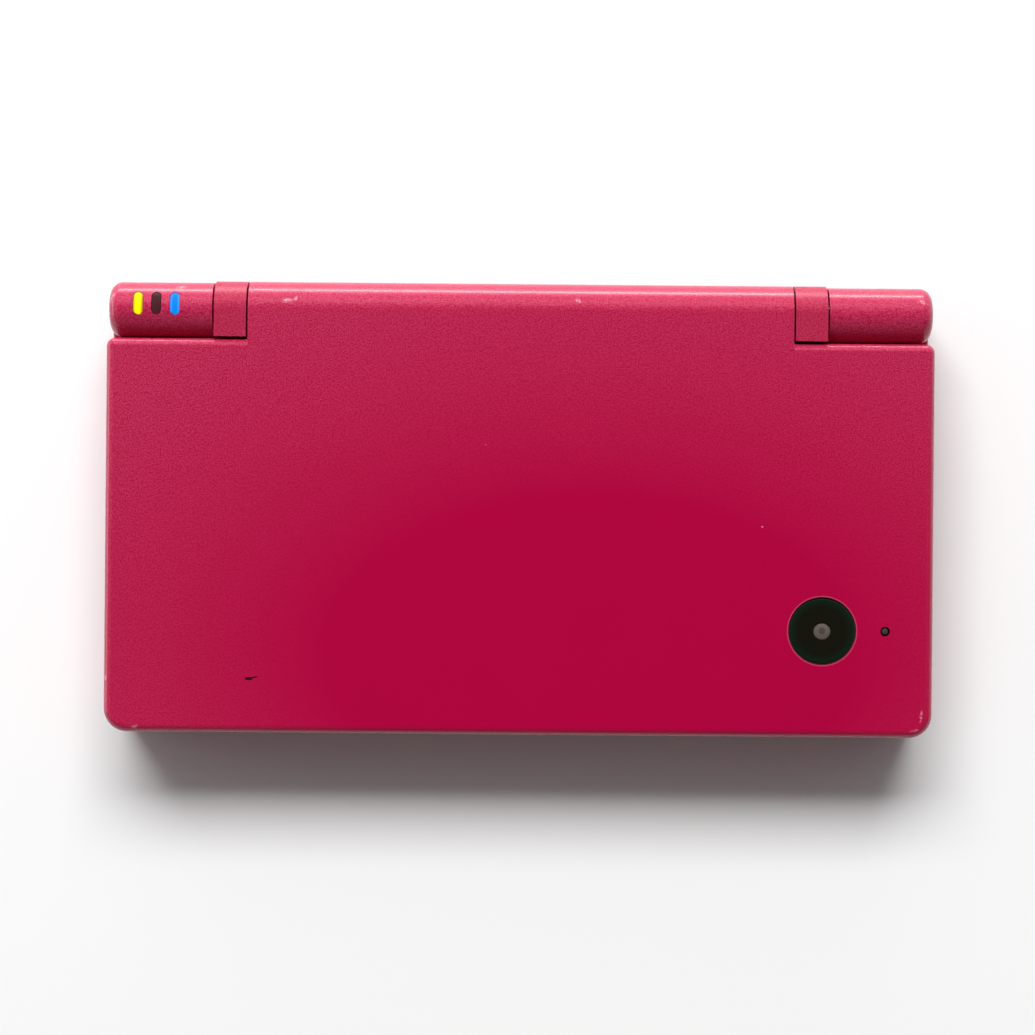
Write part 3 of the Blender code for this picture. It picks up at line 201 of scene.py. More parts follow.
def new_finish(name, metallic=0.0, **values):
    """A material, its tree and its shader's inputs, with the plain values set."""
    material = bpy.data.materials.new(name)
    material.use_nodes = True
    tree, shader = opened(material)
    shader["Metallic"].default_value = metallic
    for key, value in values.items():
        shader[key.replace("_", " ")].default_value = value
    return material, tree, shader


def add_group(tree, group, *values):
    """Places a node group in a material with its own values, and gives its outputs."""
    made = tree.nodes.new("ShaderNodeGroup")
    made.node_tree = group
    for socket, value in zip(made.inputs, values):
        socket.default_value = value
    return made.outputs


def moulded_finish(name, *surface, **values):
    """A material whose colour, roughness and grain come from the moulded surface."""
    material, tree, shader = new_finish(name, **values)
    look = add_group(tree, moulded, *surface)
    tree.links.new(look["Colour"], shader["Base Color"])
    tree.links.new(look["Roughness"], shader["Roughness"])
    tree.links.new(look["Normal"], shader["Normal"])
    return material


pink_paint = moulded_finish(
    "pink_paint", PINK, PINK_SHADE, PINK_ROUGHNESS, PINK_GRAIN, PINK_GRAIN_DEPTH,
    Coat_Weight=0.25, Coat_Roughness=0.12,
)
tree, shader = opened(pink_paint)
# Painted sheen: the paint turns paler towards the rear and the sides, as the light's reflection would make it
away = vectors(tree, "SUBTRACT", own_place(tree), SHEEN_MIDDLE)[0]
reach = vectors(tree, "LENGTH", vectors(tree, "MULTIPLY", away, SHEEN_SCALE)[0])["Value"]
sheen_share = ranged(tree, reach, SHEEN_START, SHEEN_END)
plain_pink = shader["Base Color"].links[0].from_socket
speckled_sheen = blended(tree, plain_pink.node.outputs["Speckle"], PINK_SHEEN_SHADE, PINK_SHEEN)
with_sheen = blended(tree, sheen_share, plain_pink, speckled_sheen)
tree.links.new(blended(tree, add_group(tree, marks)["Mask"], with_sheen, SCUFF_AND_HIGHLIGHT_PINK), shader["Base Color"])


# Lower case: the injection-moulded tray that the base is built in, with walls 1.3 mm thick. Its floor carries
# the foot pockets, screw bosses and battery bay, and its walls are open for the card, flap, ports and keys.
WALL = 0.0013
FLOOR = 0.0012
GAP = 0.0003
SEAM = 0.0003
OVERRUN = 0.0010
FRONT_CORNER = 0.0039
BASE_REAR_CORNER = 0.0025
BOTTOM_FILLET = 0.0012
SEAM_FILLET = 0.0004
INNER_CORNER = 0.0025
RIM_SOFTNESS = 0.00012
READER_SIDE = 0.0010
SLOT_MARGIN = 0.0002
JACK_MOUTH_RADIUS = 0.00195
PORT_SIZE = (0.0066, 0.0027)
SHOULDER_SWING_ROOM = 0.0017
BOSS_RADIUS = 0.0024
BOSS_HEIGHT = 0.0014
LEDGE_SIZE = (0.0050, 0.0042, 0.0025)
HEEL_INSET = 0.0001
HEEL_REACH = 0.0012
SHANK_RADIUS = 0.0009
HEAD_HEIGHT = 0.0008
SMALL_SIDES = 32
COVER_CORNER = 0.0015
SMOOTH_ANGLE = radians(32)
SHARP_ANGLE = radians(50)
NEAR = 0.00002
MERGE = 0.000002
TURNS = {"X": (0, pi / 2, 0), "Y": (pi / 2, 0, 0), "Z": (0, 0, 0)}


def just_added(name):
    """The object that an operator has just added, named, with its place in its mesh."""
    piece = bpy.context.object
    piece.name = piece.data.name = name
    bpy.ops.object.transform_apply(location=True, rotation=True, scale=True)
    return piece


def choose(piece):
    """Makes a piece the only one selected."""
    bpy.ops.object.select_all(action="DESELECT")
    piece.select_set(True)
    bpy.context.view_layer.objects.active = piece


def add_block(name, low, high):
    """A block between its lowest and its highest corner."""
    middle = [(a + b) / 2 for a, b in zip(low, high)]
    size = [b - a for a, b in zip(low, high)]
    bpy.ops.object.select_all(action="DESELECT")
    bpy.ops.mesh.primitive_cube_add(size=1, location=middle, scale=size)
    block = just_added(name)
    for corner in block.data.vertices:
        corner.co = [high[i] if corner.co[i] > middle[i] else low[i] for i in range(3)]
    return block


def add_bar(name, sides, radius, depth, place, rotation, scale=(1, 1, 1)):
    """A straight bar with any number of sides."""
    bpy.ops.object.select_all(action="DESELECT")
    bpy.ops.mesh.primitive_cylinder_add(
        vertices=sides, radius=radius, depth=depth, location=place, rotation=rotation, scale=scale,
    )
    return just_added(name)


def add_rod(name, axis, centre, start, end, radius, sides=64):
    """A round rod along an axis, from its start to its end."""
    place = list(centre)
    place["XYZ".index(axis)] = (start + end) / 2
    return add_bar(name, sides, radius, abs(end - start), place, TURNS[axis])


def pick(piece, kind, chosen):
    """Goes into edit mode with the faces or edges selected that chosen says yes to."""
    choose(piece)
    bpy.ops.object.mode_set(mode="EDIT")
    bpy.ops.mesh.select_mode(type=kind)
    bpy.ops.mesh.select_all(action="DESELECT")
    shape = bmesh.from_edit_mesh(piece.data)
    for part in shape.edges if kind == "EDGE" else shape.faces:
        part.select_set(bool(chosen(part)))
    bmesh.update_edit_mesh(piece.data)


def round_edges(piece, chosen, width, segments):
    """Bevels the chosen edges round."""
    pick(piece, "EDGE", chosen)
    bpy.ops.mesh.bevel(offset=width, segments=segments, affect="EDGES", clamp_overlap=True)
    bpy.ops.object.mode_set(mode="OBJECT")


def is_upright(edge):
    """Whether an edge stands upright."""
    a, b = (corner.co for corner in edge.verts)
    return (a - b).xy.length < NEAR


def is_sharp(edge):
    """Whether the faces at an edge meet at a sharp angle."""
    return edge.calc_face_angle(0) > SHARP_ANGLE


def round_rims(piece, *levels, axis="z", width=RIM_SOFTNESS, segments=2):
    """Rounds the sharp edges that lie at one of the levels along an axis."""
    def on_rim(edge):
        ends = [getattr(corner.co, axis) for corner in edge.verts]
        return is_sharp(edge) and any(all(abs(end - level) < NEAR for end in ends) for level in levels)
    round_edges(piece, on_rim, width, segments)


def add_slab(name, low, high, front, rear=None, top=0, bottom=0, segments=12, edge_segments=5):
    """A block with round upright corners, front and rear, and with its top and bottom edges rounded."""
    slab = add_block(name, low, high)
    middle = (low[1] + high[1]) / 2
    rear = front if rear is None else rear
    for radius, sign in ((front, -1), (rear, 1)):
        if radius:
            def corner(edge):
                return is_upright(edge) and (edge.verts[0].co.y - middle) * sign > 0
            round_edges(slab, corner, radius, segments)
    for radius, level in ((top, high[2]), (bottom, low[2])):
        if radius:
            round_rims(slab, level, width=radius, segments=edge_segments)
    return slab


def combine(piece, tools, operation="DIFFERENCE"):
    """Cuts the tools from a piece, or joins them to it, and removes them."""
    choose(piece)
    for tool in tools:
        shaping = piece.modifiers.new(tool.name, "BOOLEAN")
        shaping.operation = operation
        shaping.object = tool
        bpy.ops.object.modifier_apply(modifier=shaping.name)
        bpy.data.objects.remove(tool)
    bpy.ops.object.mode_set(mode="EDIT")
    bpy.ops.mesh.select_all(action="SELECT")
    bpy.ops.mesh.remove_doubles(threshold=MERGE)
    bpy.ops.mesh.dissolve_degenerate(threshold=MERGE)
    bpy.ops.mesh.delete_loose()
    bpy.ops.object.mode_set(mode="OBJECT")


def settle(piece, body, finish, slot, *nodes):
    """Shades a finished piece, gives it its finish and its body, and lets it stand for its CAD nodes."""
    choose(piece)
    bpy.ops.object.shade_smooth_by_angle(angle=SMOOTH_ANGLE)
    flats = piece.modifiers.new("flats_stay_flat", "WEIGHTED_NORMAL")
    flats.keep_sharp = True
    bpy.ops.object.modifier_apply(modifier=flats.name)
    piece.data.materials.clear()
    piece.data.materials.append(finish)
    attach(piece, body)
    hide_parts(*nodes)


def middle_of(node):
    """The middle of a node's box."""
    low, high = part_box(node)
    return (low + high) / 2


def radius_of(node):
    """Half of an upright round node's width."""
    low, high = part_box(node)
    return (high.x - low.x) / 2


def grown(node, margin, up=0.0, down=0.0):
    """A node's box with a margin to the sides, and more of it upwards or downwards."""
    low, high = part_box(node)
    return low - Vector((margin, margin, down)), high + Vector((margin, margin, up))


case_screws = [f"case_screw_{number}" for number in (1, 2, 3, 4)]
cover_screws = [f"battery_cover_screw_{number}" for number in (1, 2)]
feet = [f"foot_{end}_{side}" for end in ("front", "rear") for side in ("left", "right")]
lower_low, lower_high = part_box("base_lower_case")
floor_top = lower_low.z + FLOOR
seam_top = lower_high.z + SEAM
notch_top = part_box("shoulder_button_right")[1].z + GAP
notch_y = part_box("shoulder_button_right")[0].y - SHOULDER_SWING_ROOM
notch_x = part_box("shoulder_button_right")[0].x - GAP
tray_rear = notch_y - WALL
rear_tray_x = notch_x - WALL
lower_case = add_slab(
    "lower_case", lower_low, lower_high, FRONT_CORNER, BASE_REAR_CORNER, SEAM_FILLET, BOTTOM_FILLET,
)
tray = add_slab(
    "tray", (lower_low.x + WALL, lower_low.y + WALL, floor_top),
    (lower_high.x - WALL, tray_rear, lower_high.z + OVERRUN), INNER_CORNER,
)
rear_tray = add_block(
    "rear_tray", (-rear_tray_x, 0, floor_top), (rear_tray_x, lower_high.y - WALL, lower_high.z + OVERRUN),
)
cover_low, cover_high = grown("battery_cover", GAP, GAP / 2, OVERRUN)
bay = add_slab("bay", cover_low, cover_high, COVER_CORNER + GAP)
combine(lower_case, [tray, rear_tray, bay])
boss_low, boss_top = floor_top - FLOOR / 2, floor_top + BOSS_HEIGHT
bosses = [
    add_rod("boss", "Z", middle_of(screw), boss_low, boss_top, BOSS_RADIUS, SMALL_SIDES)
    for screw in case_screws
]
for screw in cover_screws:
    place = middle_of(screw)
    rear = cover_high.y - GAP
    heel_rear = rear + HEEL_REACH
    wide, deep, high = LEDGE_SIZE
    shelf = floor_top + GAP
    foot_rear = heel_rear - HEEL_INSET
    for name, inset, front_y, rear_y, bottom, top in (
        ("ledge", 0, rear - deep, rear, shelf, shelf + high),
        ("heel", HEEL_INSET, rear - deep / 2, heel_rear, shelf + HEEL_INSET, shelf + high / 2),
        ("heel_foot", 2 * HEEL_INSET, rear + 2 * GAP, foot_rear, floor_top - GAP, shelf + high / 3),
    ):
        bosses.append(add_block(
            name, (place.x - wide / 2 + inset, front_y, bottom), (place.x + wide / 2 - inset, rear_y, top),
        ))
combine(lower_case, bosses, "UNION")
openings = []
for foot in feet:
    pocket_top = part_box(foot)[1].z + GAP
    openings.append(add_rod("foot_pocket", "Z", middle_of(foot), -OVERRUN, pocket_top, radius_of(foot) + GAP))
for screw in case_screws + cover_screws:
    low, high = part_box(screw)
    place = middle_of(screw)
    if screw in case_screws:
        head_top = low.z + HEAD_HEIGHT + GAP
        radius = radius_of(screw) + GAP
        openings.append(add_rod("head_pocket", "Z", place, -OVERRUN, head_top, radius, sides=48))
    openings.append(add_rod("shank_hole", "Z", place, 0, high.z, SHANK_RADIUS + GAP, SMALL_SIDES))
reader_low, reader_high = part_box("card_reader")
slot_half = reader_high.x - READER_SIDE + SLOT_MARGIN
openings.append(add_block(
    "card_slot", (-slot_half, lower_high.y - WALL - OVERRUN, floor_top),
    (slot_half, lower_high.y + OVERRUN, seam_top + OVERRUN),
))
flap_low, flap_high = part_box("memory_card_flap")
openings.append(add_block(
    "flap_opening", (flap_low.x - GAP, flap_low.y - GAP, floor_top + GAP),
    (lower_high.x + OVERRUN, flap_high.y + GAP, seam_top + OVERRUN),
))
stylus_low, stylus_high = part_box("stylus")
stylus_radius = (stylus_high.y - stylus_low.y) / 2
openings.append(add_rod(
    "stylus_hole", "X", middle_of("stylus"), lower_high.x - WALL - OVERRUN, lower_high.x + OVERRUN,
    stylus_radius + GAP,
))
rocker_low, rocker_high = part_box("volume_rocker")
openings.append(add_block(
    "rocker_opening", (lower_low.x - OVERRUN, rocker_low.y - GAP, rocker_low.z - GAP),
    (rocker_high.x + GAP, rocker_high.y + GAP, seam_top + OVERRUN),
))
jack = middle_of("headphone_jack")
openings.append(add_rod(
    "jack_mouth", "Y", jack, lower_low.y - OVERRUN, lower_low.y + WALL + SLOT_MARGIN, JACK_MOUTH_RADIUS,
))
port = middle_of("power_socket")
openings.append(add_block(
    "port_mouth", (port.x - PORT_SIZE[0] / 2, lower_high.y - WALL - OVERRUN, port.z - PORT_SIZE[1] / 2),
    (port.x + PORT_SIZE[0] / 2, lower_high.y + OVERRUN, port.z + PORT_SIZE[1] / 2),
))


def shoulder_notches():
    """The rear corner spaces that the two shoulder buttons swing in, and the seats of their pins."""
    far = (lower_high.x + OVERRUN, lower_high.y + OVERRUN)
    spaces = [
        add_block("notch", (notch_x, notch_y, floor_top), (*far, notch_top)),
        add_block("notch", (-far[0], notch_y, floor_top), (-notch_x, far[1], notch_top)),
    ]
    for pin in ("shoulder_pin_left", "shoulder_pin_right"):
        low, high = grown(pin, GAP, GAP, GAP)
        radius = (high.x - low.x) / 2
        spaces.append(add_rod("pin_seat", "Z", middle_of(pin), low.z, high.z, radius, SMALL_SIDES))
    return spaces


combine(lower_case, openings + shoulder_notches())
settle(lower_case, "base", pink_paint, "case_pink", "base_lower_case")


# Upper case: the deck that carries the keys and the touch screen, with a barrel at each rear corner for
# the hinge. It is one moulding in the same pink, on posts that the case screws bite into, and it is troughed
# behind the deck for the lid's roll.
UPPER_CASE_HEIGHT = 0.0044
DECK = 0.0013
BARREL_SET_IN = 0.0002
BARREL_LENGTH = 0.0173
BARREL_DOME = 0.0020
ROLL_RADIUS = 0.00485
TROUGH_GAP = 0.00035
SADDLE_INSET = 0.0003
REAR_BLOCK = 0.0112
RELIEF_DROP = 0.0001
RELIEF_FROM_AXIS = 0.0004
BUTTON_FLANGE = 0.0008
DPAD_SPAN = 0.0210
DPAD_ARM = 0.0070
DPAD_GAP = 0.0004
DPAD_CORNER = 0.0010
PANEL_CORNER = 0.0006
LIGHT_GAP = 0.0001
CLUTCH_SEAT_RADIUS = 0.0029
ROUND_SIDES = 96
push_buttons = [
    "button_right", "button_lower", "button_upper", "button_left", "start_button", "select_button",
    "power_button",
]
status_lights = ["charge_light", "power_light", "wireless_light"]
hinge = Vector(next(joint["pos_m"] for joint in frame["joints"] if joint["name"] == "lid_hinge"))
deck_top = seam_top + UPPER_CASE_HEIGHT
deck_under = deck_top - DECK
half_width = lower_high.x
base_rear = lower_high.y
base_front = lower_low.y
barrel_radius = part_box("base_upper_case")[1].z - hinge.z
barrel_outer = half_width - BARREL_SET_IN
barrel_inner = barrel_outer - BARREL_LENGTH


def barrel_and_saddle(side):
    """One hinge barrel, domed at its outer end, and the saddle under it."""
    near, far = sorted((side * barrel_inner, side * barrel_outer))
    barrel = add_rod("barrel", "X", hinge, near, far, barrel_radius, ROUND_SIDES)
    for end, width, segments in ((barrel_outer, BARREL_DOME, 10), (barrel_inner, RIM_SOFTNESS, 2)):
        round_rims(barrel, side * end, axis="x", width=width, segments=segments)
    near, far = sorted((side * barrel_inner, side * (barrel_outer - BARREL_DOME)))
    saddle_half = barrel_radius - SADDLE_INSET
    saddle = add_block(
        "saddle", (near, hinge.y - saddle_half, deck_under), (far, hinge.y + saddle_half, hinge.z),
    )
    return [saddle, barrel]


def cross_bars(name, centre, half_long, half_wide, low, high, corner=0):
    """The two bars that cut a cross."""
    return [
        add_slab(
            name, (centre.x - half_x, centre.y - half_y, low), (centre.x + half_x, centre.y + half_y, high),
            corner, segments=6,
        )
        for half_x, half_y in ((half_long, half_wide), (half_wide, half_long))
    ]


upper_case = add_slab(
    "upper_case", (-half_width, base_front, seam_top), (half_width, base_rear, deck_top),
    FRONT_CORNER, BASE_REAR_CORNER, SEAM_FILLET, SEAM_FILLET,
)
inner_x, inner_front = half_width - WALL, base_front + WALL
hollows = [
    add_slab(
        "deck_hollow", (-inner_x, inner_front, seam_top - OVERRUN),
        (inner_x, base_rear - REAR_BLOCK, deck_under), INNER_CORNER,
    ),
    add_rod("trough", "X", hinge, -barrel_inner, barrel_inner, ROLL_RADIUS + TROUGH_GAP, ROUND_SIDES),
    add_block(
        "relief", (-barrel_inner, hinge.y + RELIEF_FROM_AXIS, hinge.z - ROLL_RADIUS - RELIEF_DROP),
        (barrel_inner, base_rear + OVERRUN, deck_top + OVERRUN),
    ),
]
combine(upper_case, hollows)
post_low = floor_top + BOSS_HEIGHT + GAP
posts = [
    add_rod("post", "Z", middle_of(screw), post_low, deck_under + GAP, BOSS_RADIUS, SMALL_SIDES)
    for screw in case_screws
]
combine(upper_case, posts + barrel_and_saddle(-1) + barrel_and_saddle(1), "UNION")
panel_low, panel_high = grown("touch_panel", GAP, OVERRUN, OVERRUN)
openings = [add_slab("panel_opening", panel_low, panel_high, PANEL_CORNER + GAP, segments=6)]
through = (deck_under - OVERRUN, deck_top + OVERRUN)
half_span, half_arm = DPAD_SPAN / 2, DPAD_ARM / 2
openings += cross_bars(
    "arm", middle_of("dpad"), half_span + DPAD_GAP, half_arm + DPAD_GAP, *through, DPAD_CORNER,
)
for button in push_buttons:
    radius = radius_of(button) - BUTTON_FLANGE + GAP
    openings.append(add_rod("button_hole", "Z", middle_of(button), *through, radius))
for light in status_lights:
    low, high = grown(light, LIGHT_GAP, OVERRUN, GAP / 2)
    openings.append(add_slab("light_slot", low, high, (high.x - low.x) / 2 - NEAR, segments=8))
for screw in case_screws:
    screw_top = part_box(screw)[1].z + GAP
    openings.append(add_rod(
        "shank_hole", "Z", middle_of(screw), 0, screw_top, SHANK_RADIUS + GAP, SMALL_SIDES,
    ))
clutch_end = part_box("hinge_clutch")[1].x + GAP
for side in (-1, 1):
    near, far = sorted((side * (barrel_inner - OVERRUN), side * clutch_end))
    openings.append(add_rod("clutch_seat", "X", hinge, near, far, CLUTCH_SEAT_RADIUS))
combine(upper_case, openings + shoulder_notches())
round_rims(upper_case, deck_top)
settle(upper_case, "base", pink_paint, "case_pink", "base_upper_case")


# Inner frame of the lid: the moulding round the upper screen, with a raised rim that keeps the screen off
# the keys, speaker slots at its sides, and two cheeks that the hinge shafts hold. It clips into the cover.
FRAME_HEIGHT = 0.0020
RECESS_DEPTH = 0.0011
RIM_WIDTH = 0.0016
LID_REAR_CORNER = 0.0010
WINDOW_CORNER = 0.0010
CHEEK_WIDTH = 0.0053
CHEEK_FRONT_GAP = 0.0003
NECK_OVERLAP = 0.0030
SHAFT_HOLE_RADIUS = 0.0022
SPEAKER_SLOT = (0.0044, 0.0012)
SPEAKER_PITCH = 0.0030
FRAME_PINK = (0.500, 0.036, 0.108, 1)
FRAME_PINK_SHADE = (0.320, 0.000, 0.020, 1)
FRAME_ROUGHNESS = 0.38
frame_low, frame_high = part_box("lid_inner_frame")
cover_low, cover_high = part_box("lid_outer_cover")
lid_front = frame_low.y
lid_rear = hinge.y - barrel_radius - GAP
frame_bottom, lid_top = frame_low.z, frame_high.z
frame_top = frame_bottom + FRAME_HEIGHT
recess_top = frame_bottom + RECESS_DEPTH
cheek_outer = barrel_inner - GAP
cheek_inner = cheek_outer - CHEEK_WIDTH
cheek_front = lid_rear + CHEEK_FRONT_GAP
inner_frame = add_slab(
    "inner_frame", (-half_width, lid_front, frame_bottom), (half_width, lid_rear - GAP, frame_top),
    FRONT_CORNER, LID_REAR_CORNER, SEAM_FILLET, SEAM_FILLET,
)
recess = add_slab(
    "recess", (-half_width + RIM_WIDTH, lid_front + RIM_WIDTH, frame_bottom - OVERRUN),
    (half_width - RIM_WIDTH, lid_rear - GAP - RIM_WIDTH, recess_top), FRONT_CORNER - RIM_WIDTH,
    top=SEAM_FILLET, edge_segments=3,
)
combine(inner_frame, [recess])
cheeks = []
for side in (-1, 1):
    near, far = sorted((side * cheek_inner, side * cheek_outer))
    cheek = add_rod("cheek", "X", hinge, near, far, ROLL_RADIUS, ROUND_SIDES)
    flat = add_block("flat", (near, cheek_front, frame_bottom + LIGHT_GAP), (far, hinge.y, lid_top))
    combine(cheek, [flat], "UNION")
    round_rims(cheek, near, far, axis="x")
    neck_front = lid_rear - GAP - NECK_OVERLAP
    neck = add_block(
        "neck", (near + LIGHT_GAP, neck_front, recess_top + LIGHT_GAP),
        (far - LIGHT_GAP, cheek_front + NECK_OVERLAP, frame_top - LIGHT_GAP),
    )
    cheeks += [cheek, neck]
combine(inner_frame, cheeks, "UNION")
window_low, window_high = grown("upper_window", GAP, OVERRUN, 3 * OVERRUN)
openings = [add_slab("window_opening", window_low, window_high, WINDOW_CORNER + GAP, segments=6)]
for side in ("left", "right"):
    place = middle_of(f"speaker_{side}")
    for row in (-1, 0, 1):
        half_x, half_y = (size / 2 for size in SPEAKER_SLOT)
        row_y = place.y + row * SPEAKER_PITCH
        openings.append(add_slab(
            "slot", (place.x - half_x, row_y - half_y, frame_bottom - OVERRUN),
            (place.x + half_x, row_y + half_y, frame_top + OVERRUN), half_y - NEAR, segments=8,
        ))
for side in (-1, 1):
    near, far = sorted((side * (cheek_inner - OVERRUN), side * (cheek_outer + OVERRUN)))
    openings.append(add_rod("shaft_hole", "X", hinge, near, far, SHAFT_HOLE_RADIUS))
combine(inner_frame, openings)
round_rims(inner_frame, recess_top)
pink_moulding = moulded_finish(
    "pink_moulding", FRAME_PINK, FRAME_PINK_SHADE, FRAME_ROUGHNESS, PINK_GRAIN, PINK_GRAIN_DEPTH,
)
tree, shader = opened(pink_moulding)
speckle = shader["Base Color"].links[0].from_node.outputs["Speckle"]
tree.links.new(blended(tree, speckle, FRAME_PINK_SHADE, FRAME_PINK), shader["Base Color"])
settle(inner_frame, "lid", pink_moulding, "case_pink", "lid_inner_frame")


# Outer cover of the lid: the shell that the photograph shows, 1.2 mm thick at its top, with a soft upper edge
# and a hollow roll along its rear that turns between the barrels. A round pocket takes the camera window.
COVER_WALL = 0.0013
COVER_TOP_WALL = 0.0012
TOP_FILLET = 0.0014
COVER_REAR_CORNER = 0.00145
ROLL_BORE_RADIUS = 0.0036
CAMERA_POCKET_RADIUS = 0.0056
CAMERA_SIGHT_RADIUS = 0.0025
INDICATOR_HOLE_RADIUS = 0.0008
INNER_CAMERA_HOLE_RADIUS = 0.0021
NICK_SIDES = 9
NICK_PLACE = (-0.0444, -0.02846)
NICK_SIZE = (0.00135, 0.00058, 0.00025)
NICK_TAIL = (-0.0435, -0.02823)
NICK_TAIL_SIZE = (0.00130, 0.00026, 0.00018)
NICK_TURN = radians(7)
CHIP_DARK = (0.030, 0.004, 0.010, 1)
RIM_HIGHLIGHT = 0.16
roll_half = cheek_inner - GAP
cover_bottom = cover_low.z
cover_under = lid_top - COVER_TOP_WALL
outer_cover = add_slab(
    "outer_cover", (-half_width, lid_front, cover_bottom), (half_width, lid_rear, lid_top),
    FRONT_CORNER, COVER_REAR_CORNER, TOP_FILLET, SEAM_FILLET, edge_segments=10,
)
hollow = add_slab(
    "hollow", (-half_width + COVER_WALL, lid_front + COVER_WALL, cover_bottom - OVERRUN),
    (half_width - COVER_WALL, lid_rear - COVER_WALL, cover_under), FRONT_CORNER - COVER_WALL,
)
combine(outer_cover, [hollow])
roll = add_rod("roll", "X", hinge, -roll_half, roll_half, ROLL_RADIUS, ROUND_SIDES)
roll_neck = add_block(
    "roll_neck", (-roll_half, lid_rear - COVER_WALL + LIGHT_GAP, cover_bottom), (roll_half, hinge.y, lid_top),
)
combine(roll, [roll_neck], "UNION")
round_rims(roll, -roll_half, roll_half, axis="x")
combine(outer_cover, [roll], "UNION")
camera = middle_of("outer_camera")
indicator = middle_of("camera_light")
window_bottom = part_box("camera_window")[0].z
inner_camera_low, inner_camera_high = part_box("inner_camera")
openings = [
    add_rod("roll_bore", "X", hinge, -roll_half - OVERRUN, roll_half + OVERRUN, ROLL_BORE_RADIUS),
    add_rod("pocket", "Z", camera, window_bottom - GAP, lid_top + OVERRUN, CAMERA_POCKET_RADIUS, ROUND_SIDES),
    add_rod("sight", "Z", camera, cover_under - OVERRUN, lid_top, CAMERA_SIGHT_RADIUS),
    add_rod(
        "light_hole", "Z", indicator, cover_under - OVERRUN, lid_top + OVERRUN, INDICATOR_HOLE_RADIUS,
        SMALL_SIDES,
    ),
    add_rod(
        "inner_hole", "Z", middle_of("inner_camera"), inner_camera_low.z - OVERRUN, hinge.z,
        INNER_CAMERA_HOLE_RADIUS, sides=48,
    ),
]
combine(outer_cover, openings)
round_rims(outer_cover, lid_top)
nicks = [
    add_bar("nick", NICK_SIDES, 0.5, 1, (*place, lid_top), (0, 0, turn), size)
    for place, size, turn in ((NICK_PLACE, NICK_SIZE, 0), (NICK_TAIL, NICK_TAIL_SIZE, NICK_TURN))
]
combine(outer_cover, nicks)
settle(outer_cover, "lid", pink_paint, "case_pink", "lid_outer_cover")
chipped_paint_with_rim_highlight = pink_paint.copy()
chipped_paint_with_rim_highlight.name = "chipped_paint_with_rim_highlight"
tree, shader = opened(chipped_paint_with_rim_highlight)
place = own_place(tree)
depth = add_node(tree, "SeparateXYZ", {0: place}).outputs["Z"]
sunk = maths(tree, "LESS_THAN", depth, lid_top - NICK_SIZE[2] / 6)
reach = vectors(tree, "DISTANCE", place, (*NICK_PLACE, lid_top))["Value"]
chip = maths(tree, "MULTIPLY", sunk, maths(tree, "LESS_THAN", reach, 2 * NICK_SIZE[0]))
# A pale ring along the edge of the camera pocket: a painted highlight of its rounded rim
reach = vectors(tree, "DISTANCE", place, (camera.x, camera.y, lid_top))["Value"]
off_rim = maths(tree, "ABSOLUTE", maths(tree, "SUBTRACT", reach, CAMERA_POCKET_RADIUS + RIM_SOFTNESS))
rim_highlight = ranged(tree, off_rim, RIM_SOFTNESS, 0.0, last=RIM_HIGHLIGHT)
painted = shader["Base Color"].links[0].from_socket
with_rim_highlight = blended(tree, rim_highlight, painted, SCUFF_AND_HIGHLIGHT_PINK)
tree.links.new(blended(tree, chip, with_rim_highlight, CHIP_DARK), shader["Base Color"])
outer_cover.data.materials[0] = chipped_paint_with_rim_highlight


# Underside fittings: four rubber feet pressed into round pockets, and six plated steel screws with cross
# recesses, four through the case and two short ones that hold the battery cover.
FOOT_EDGE = 0.00025
HEAD_EDGE = 0.00015
CROSS_SIZE = (0.0018, 0.00042, 0.0004)
THREAD_PITCH = 0.0006
THREAD_DEPTH = 0.00012
# Colour, shade, roughness, grain size and grain depth of a finish, here and below
RUBBER = ((0.022, 0.022, 0.023, 1), (0.035, 0.035, 0.036, 1), 0.85, 0.0003, 0.000006)
STEEL = ((0.60, 0.60, 0.62, 1), (0.42, 0.42, 0.44, 1), 0.32, 0.0004, 0.000001)


def repeat(model, copies, body, finish, slot):
    """Puts a copy with its own mesh at each named place, and removes the model."""
    for name, shift, *nodes in copies:
        twin = bpy.data.objects.new(name, model.data.copy())
        bpy.context.collection.objects.link(twin)
        twin.data.name = name
        twin.data.transform(Matrix.Translation(shift))
        settle(twin, body, finish, slot, *nodes)
    bpy.data.objects.remove(model)


def rings(top, height, radius, shares):
    """Profile pairs from shares of a height below the top and of a radius."""
    return [(top - height * down, radius * share) for down, share in shares]


def add_turned(name, axis, centre, profile, sides=64):
    """A round solid through (place along the axis, radius) pairs, drawn out ring by ring from a disc."""
    start, first = profile[0]
    bpy.ops.object.select_all(action="DESELECT")
    bpy.ops.mesh.primitive_circle_add(vertices=sides, radius=first, fill_type="NGON", location=(0, 0, 0))
    bpy.ops.object.mode_set(mode="EDIT")
    bpy.ops.mesh.select_all(action="SELECT")
    for (before, old), (along, radius) in zip(profile, profile[1:]):
        bpy.ops.mesh.extrude_region_move(TRANSFORM_OT_translate={"value": (0, 0, along - before)})
        share = radius / old
        bpy.ops.transform.resize(value=(share, share, 1), center_override=(0, 0, along - start))
    bpy.ops.mesh.select_all(action="SELECT")
    bpy.ops.mesh.normals_make_consistent(inside=False)
    bpy.ops.object.mode_set(mode="OBJECT")
    turned = bpy.context.object
    place = list(centre)
    place["XYZ".index(axis)] = start
    turned.location = place
    turned.rotation_euler = (-pi / 2, 0, 0) if axis == "Y" else TURNS[axis]
    return just_added(name)


